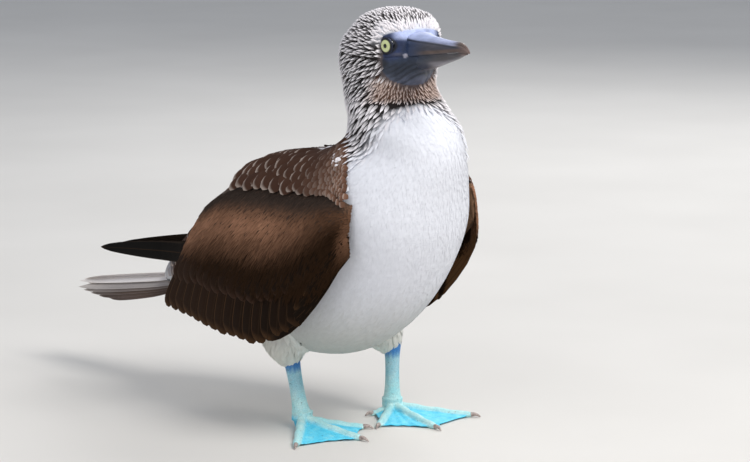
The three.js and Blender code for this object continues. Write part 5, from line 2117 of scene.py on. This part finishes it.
        skin = Skin().build([leg.build_thigh() for leg in self.legs], skin_finish)
        coat = Coat(skin.data)
        self.build_plumage(coat, soft, silky, scallop)
        self.build_thighs(coat, silky)
        for half in (UPPER_BILL, LOWER_BILL):
            half.build(horn)
        for side in Side:
            Eyeball(side).build(eye)
            rng = np.random.default_rng(40 + side.value)
            wing = Wing(side)
            if side is self.far_wing:
                # The far wing's front edge takes more painted warm light, and further back.
                wing = Wing(side, out=11.0, edge_light=0.85, edge_reach=0.2)
            wing.build_core(skin_finish)
            for row in wing.rows:
                wing.build_row(row, flight, rng)
            wing.build_blades(flight, wing.rows[0])
            wing.build_coverts(covert, rng, coat)
            wing.build_scapulars(scallop, rng, coat)
            Primaries(side).build(flight)
        Tail().build(rectrix, np.random.default_rng(60))
        for leg in self.legs:
            leg.build_foot(leg_skin)
            for toe in leg.toes:
                leg.build_claw(toe, claw)


# Floor, light and camera.

@dataclass
class Studio:
    """Pale floor, soft light and the camera at the photo's angle."""

    azimuth: float = -45
    elevation: float = 10
    distance: float = 3000
    sensor: float = 36
    lens: float = 144  # with that sensor, 1 mm at that distance is one pixel of 750
    aim: tuple = (29.5, 191, 2)  # to the camera's right, up and over the floor, from between the feet
    lit: tuple = (0, 0, 0.22)  # what the lights point at, in metres
    floor_size: float = 40.0  # in metres

    def build_camera(self) -> None:
        """Places the camera."""
        a, e = math.radians(self.azimuth), math.radians(self.elevation)
        back = Vector((math.sin(a) * math.cos(e), -math.cos(a) * math.cos(e), math.sin(e)))
        right = Vector((math.cos(a), math.sin(a), 0))
        up = back.cross(right)
        target = Vector(to_world((0, 0, self.aim[2]))) + (right * self.aim[0] + up * self.aim[1]) * MM
        data = bpy.data.cameras.new("camera")
        data.lens = self.lens
        data.sensor_width = self.sensor
        camera = bpy.data.objects.new("camera", data)
        camera.location = target + back * self.distance * MM
        camera.rotation_mode = "QUATERNION"
        camera.rotation_quaternion = (-back).to_track_quat("-Z", "Y")
        bpy.context.scene.collection.objects.link(camera)
        bpy.context.scene.camera = camera

    def build_light(self, name: str, place: tuple, size: float, power: float, colour: str) -> None:
        """Adds a soft light that points at the bird.

        Args:
            name: Name of the light.
            place: Where it stands, in metres.
            size: Diameter in metres.
            power: Power in watts.
            colour: Colour as "#rrggbb".
        """
        data = bpy.data.lights.new(name, "AREA")
        data.shape = "DISK"
        data.size = size
        data.energy = power
        data.color = tuple(linear(colour))
        lamp = bpy.data.objects.new(name, data)
        lamp.location = place
        lamp.rotation_mode = "QUATERNION"
        lamp.rotation_quaternion = (Vector(self.lit) - Vector(place)).to_track_quat("-Z", "Y")
        bpy.context.scene.collection.objects.link(lamp)

    def build(self) -> None:
        """Makes floor, lights, world and camera."""
        bm = bmesh.new()
        bmesh.ops.create_grid(bm, x_segments=1, y_segments=1, size=self.floor_size / 2)
        mesh = bpy.data.meshes.new("floor")
        bm.to_mesh(mesh)
        bm.free()
        mesh.materials.append(BOARD.build())
        floor = bpy.data.objects.new("floor", mesh)
        bpy.context.scene.collection.objects.link(floor)
        self.build_light("key", (0.1, -2.0, 2.6), 1.6, 78, "#fffcf8")
        self.build_light("fill", (-2.4, -0.4, 1.6), 2.2, 13, "#fbf8f6")
        self.build_light("rim", (2.1, 0.9, 1.7), 1.4, 26, "#ffffff")
        world = bpy.data.worlds.new("soft room")
        world.use_nodes = True
        back = world.node_tree.nodes["Background"]
        connect(world.node_tree, back, {"Color": rgba("#dde4f0"), "Strength": 0.55})
        bpy.context.scene.world = world
        bpy.context.scene.view_settings.view_transform = "Standard"
        self.build_camera()


def main() -> None:
    """Builds the studio and the bird."""
    logging.basicConfig(level=logging.INFO, format="%(name)s %(message)s")
    Studio().build()
    Bird().build()


if __name__ == "__main__":
    main()
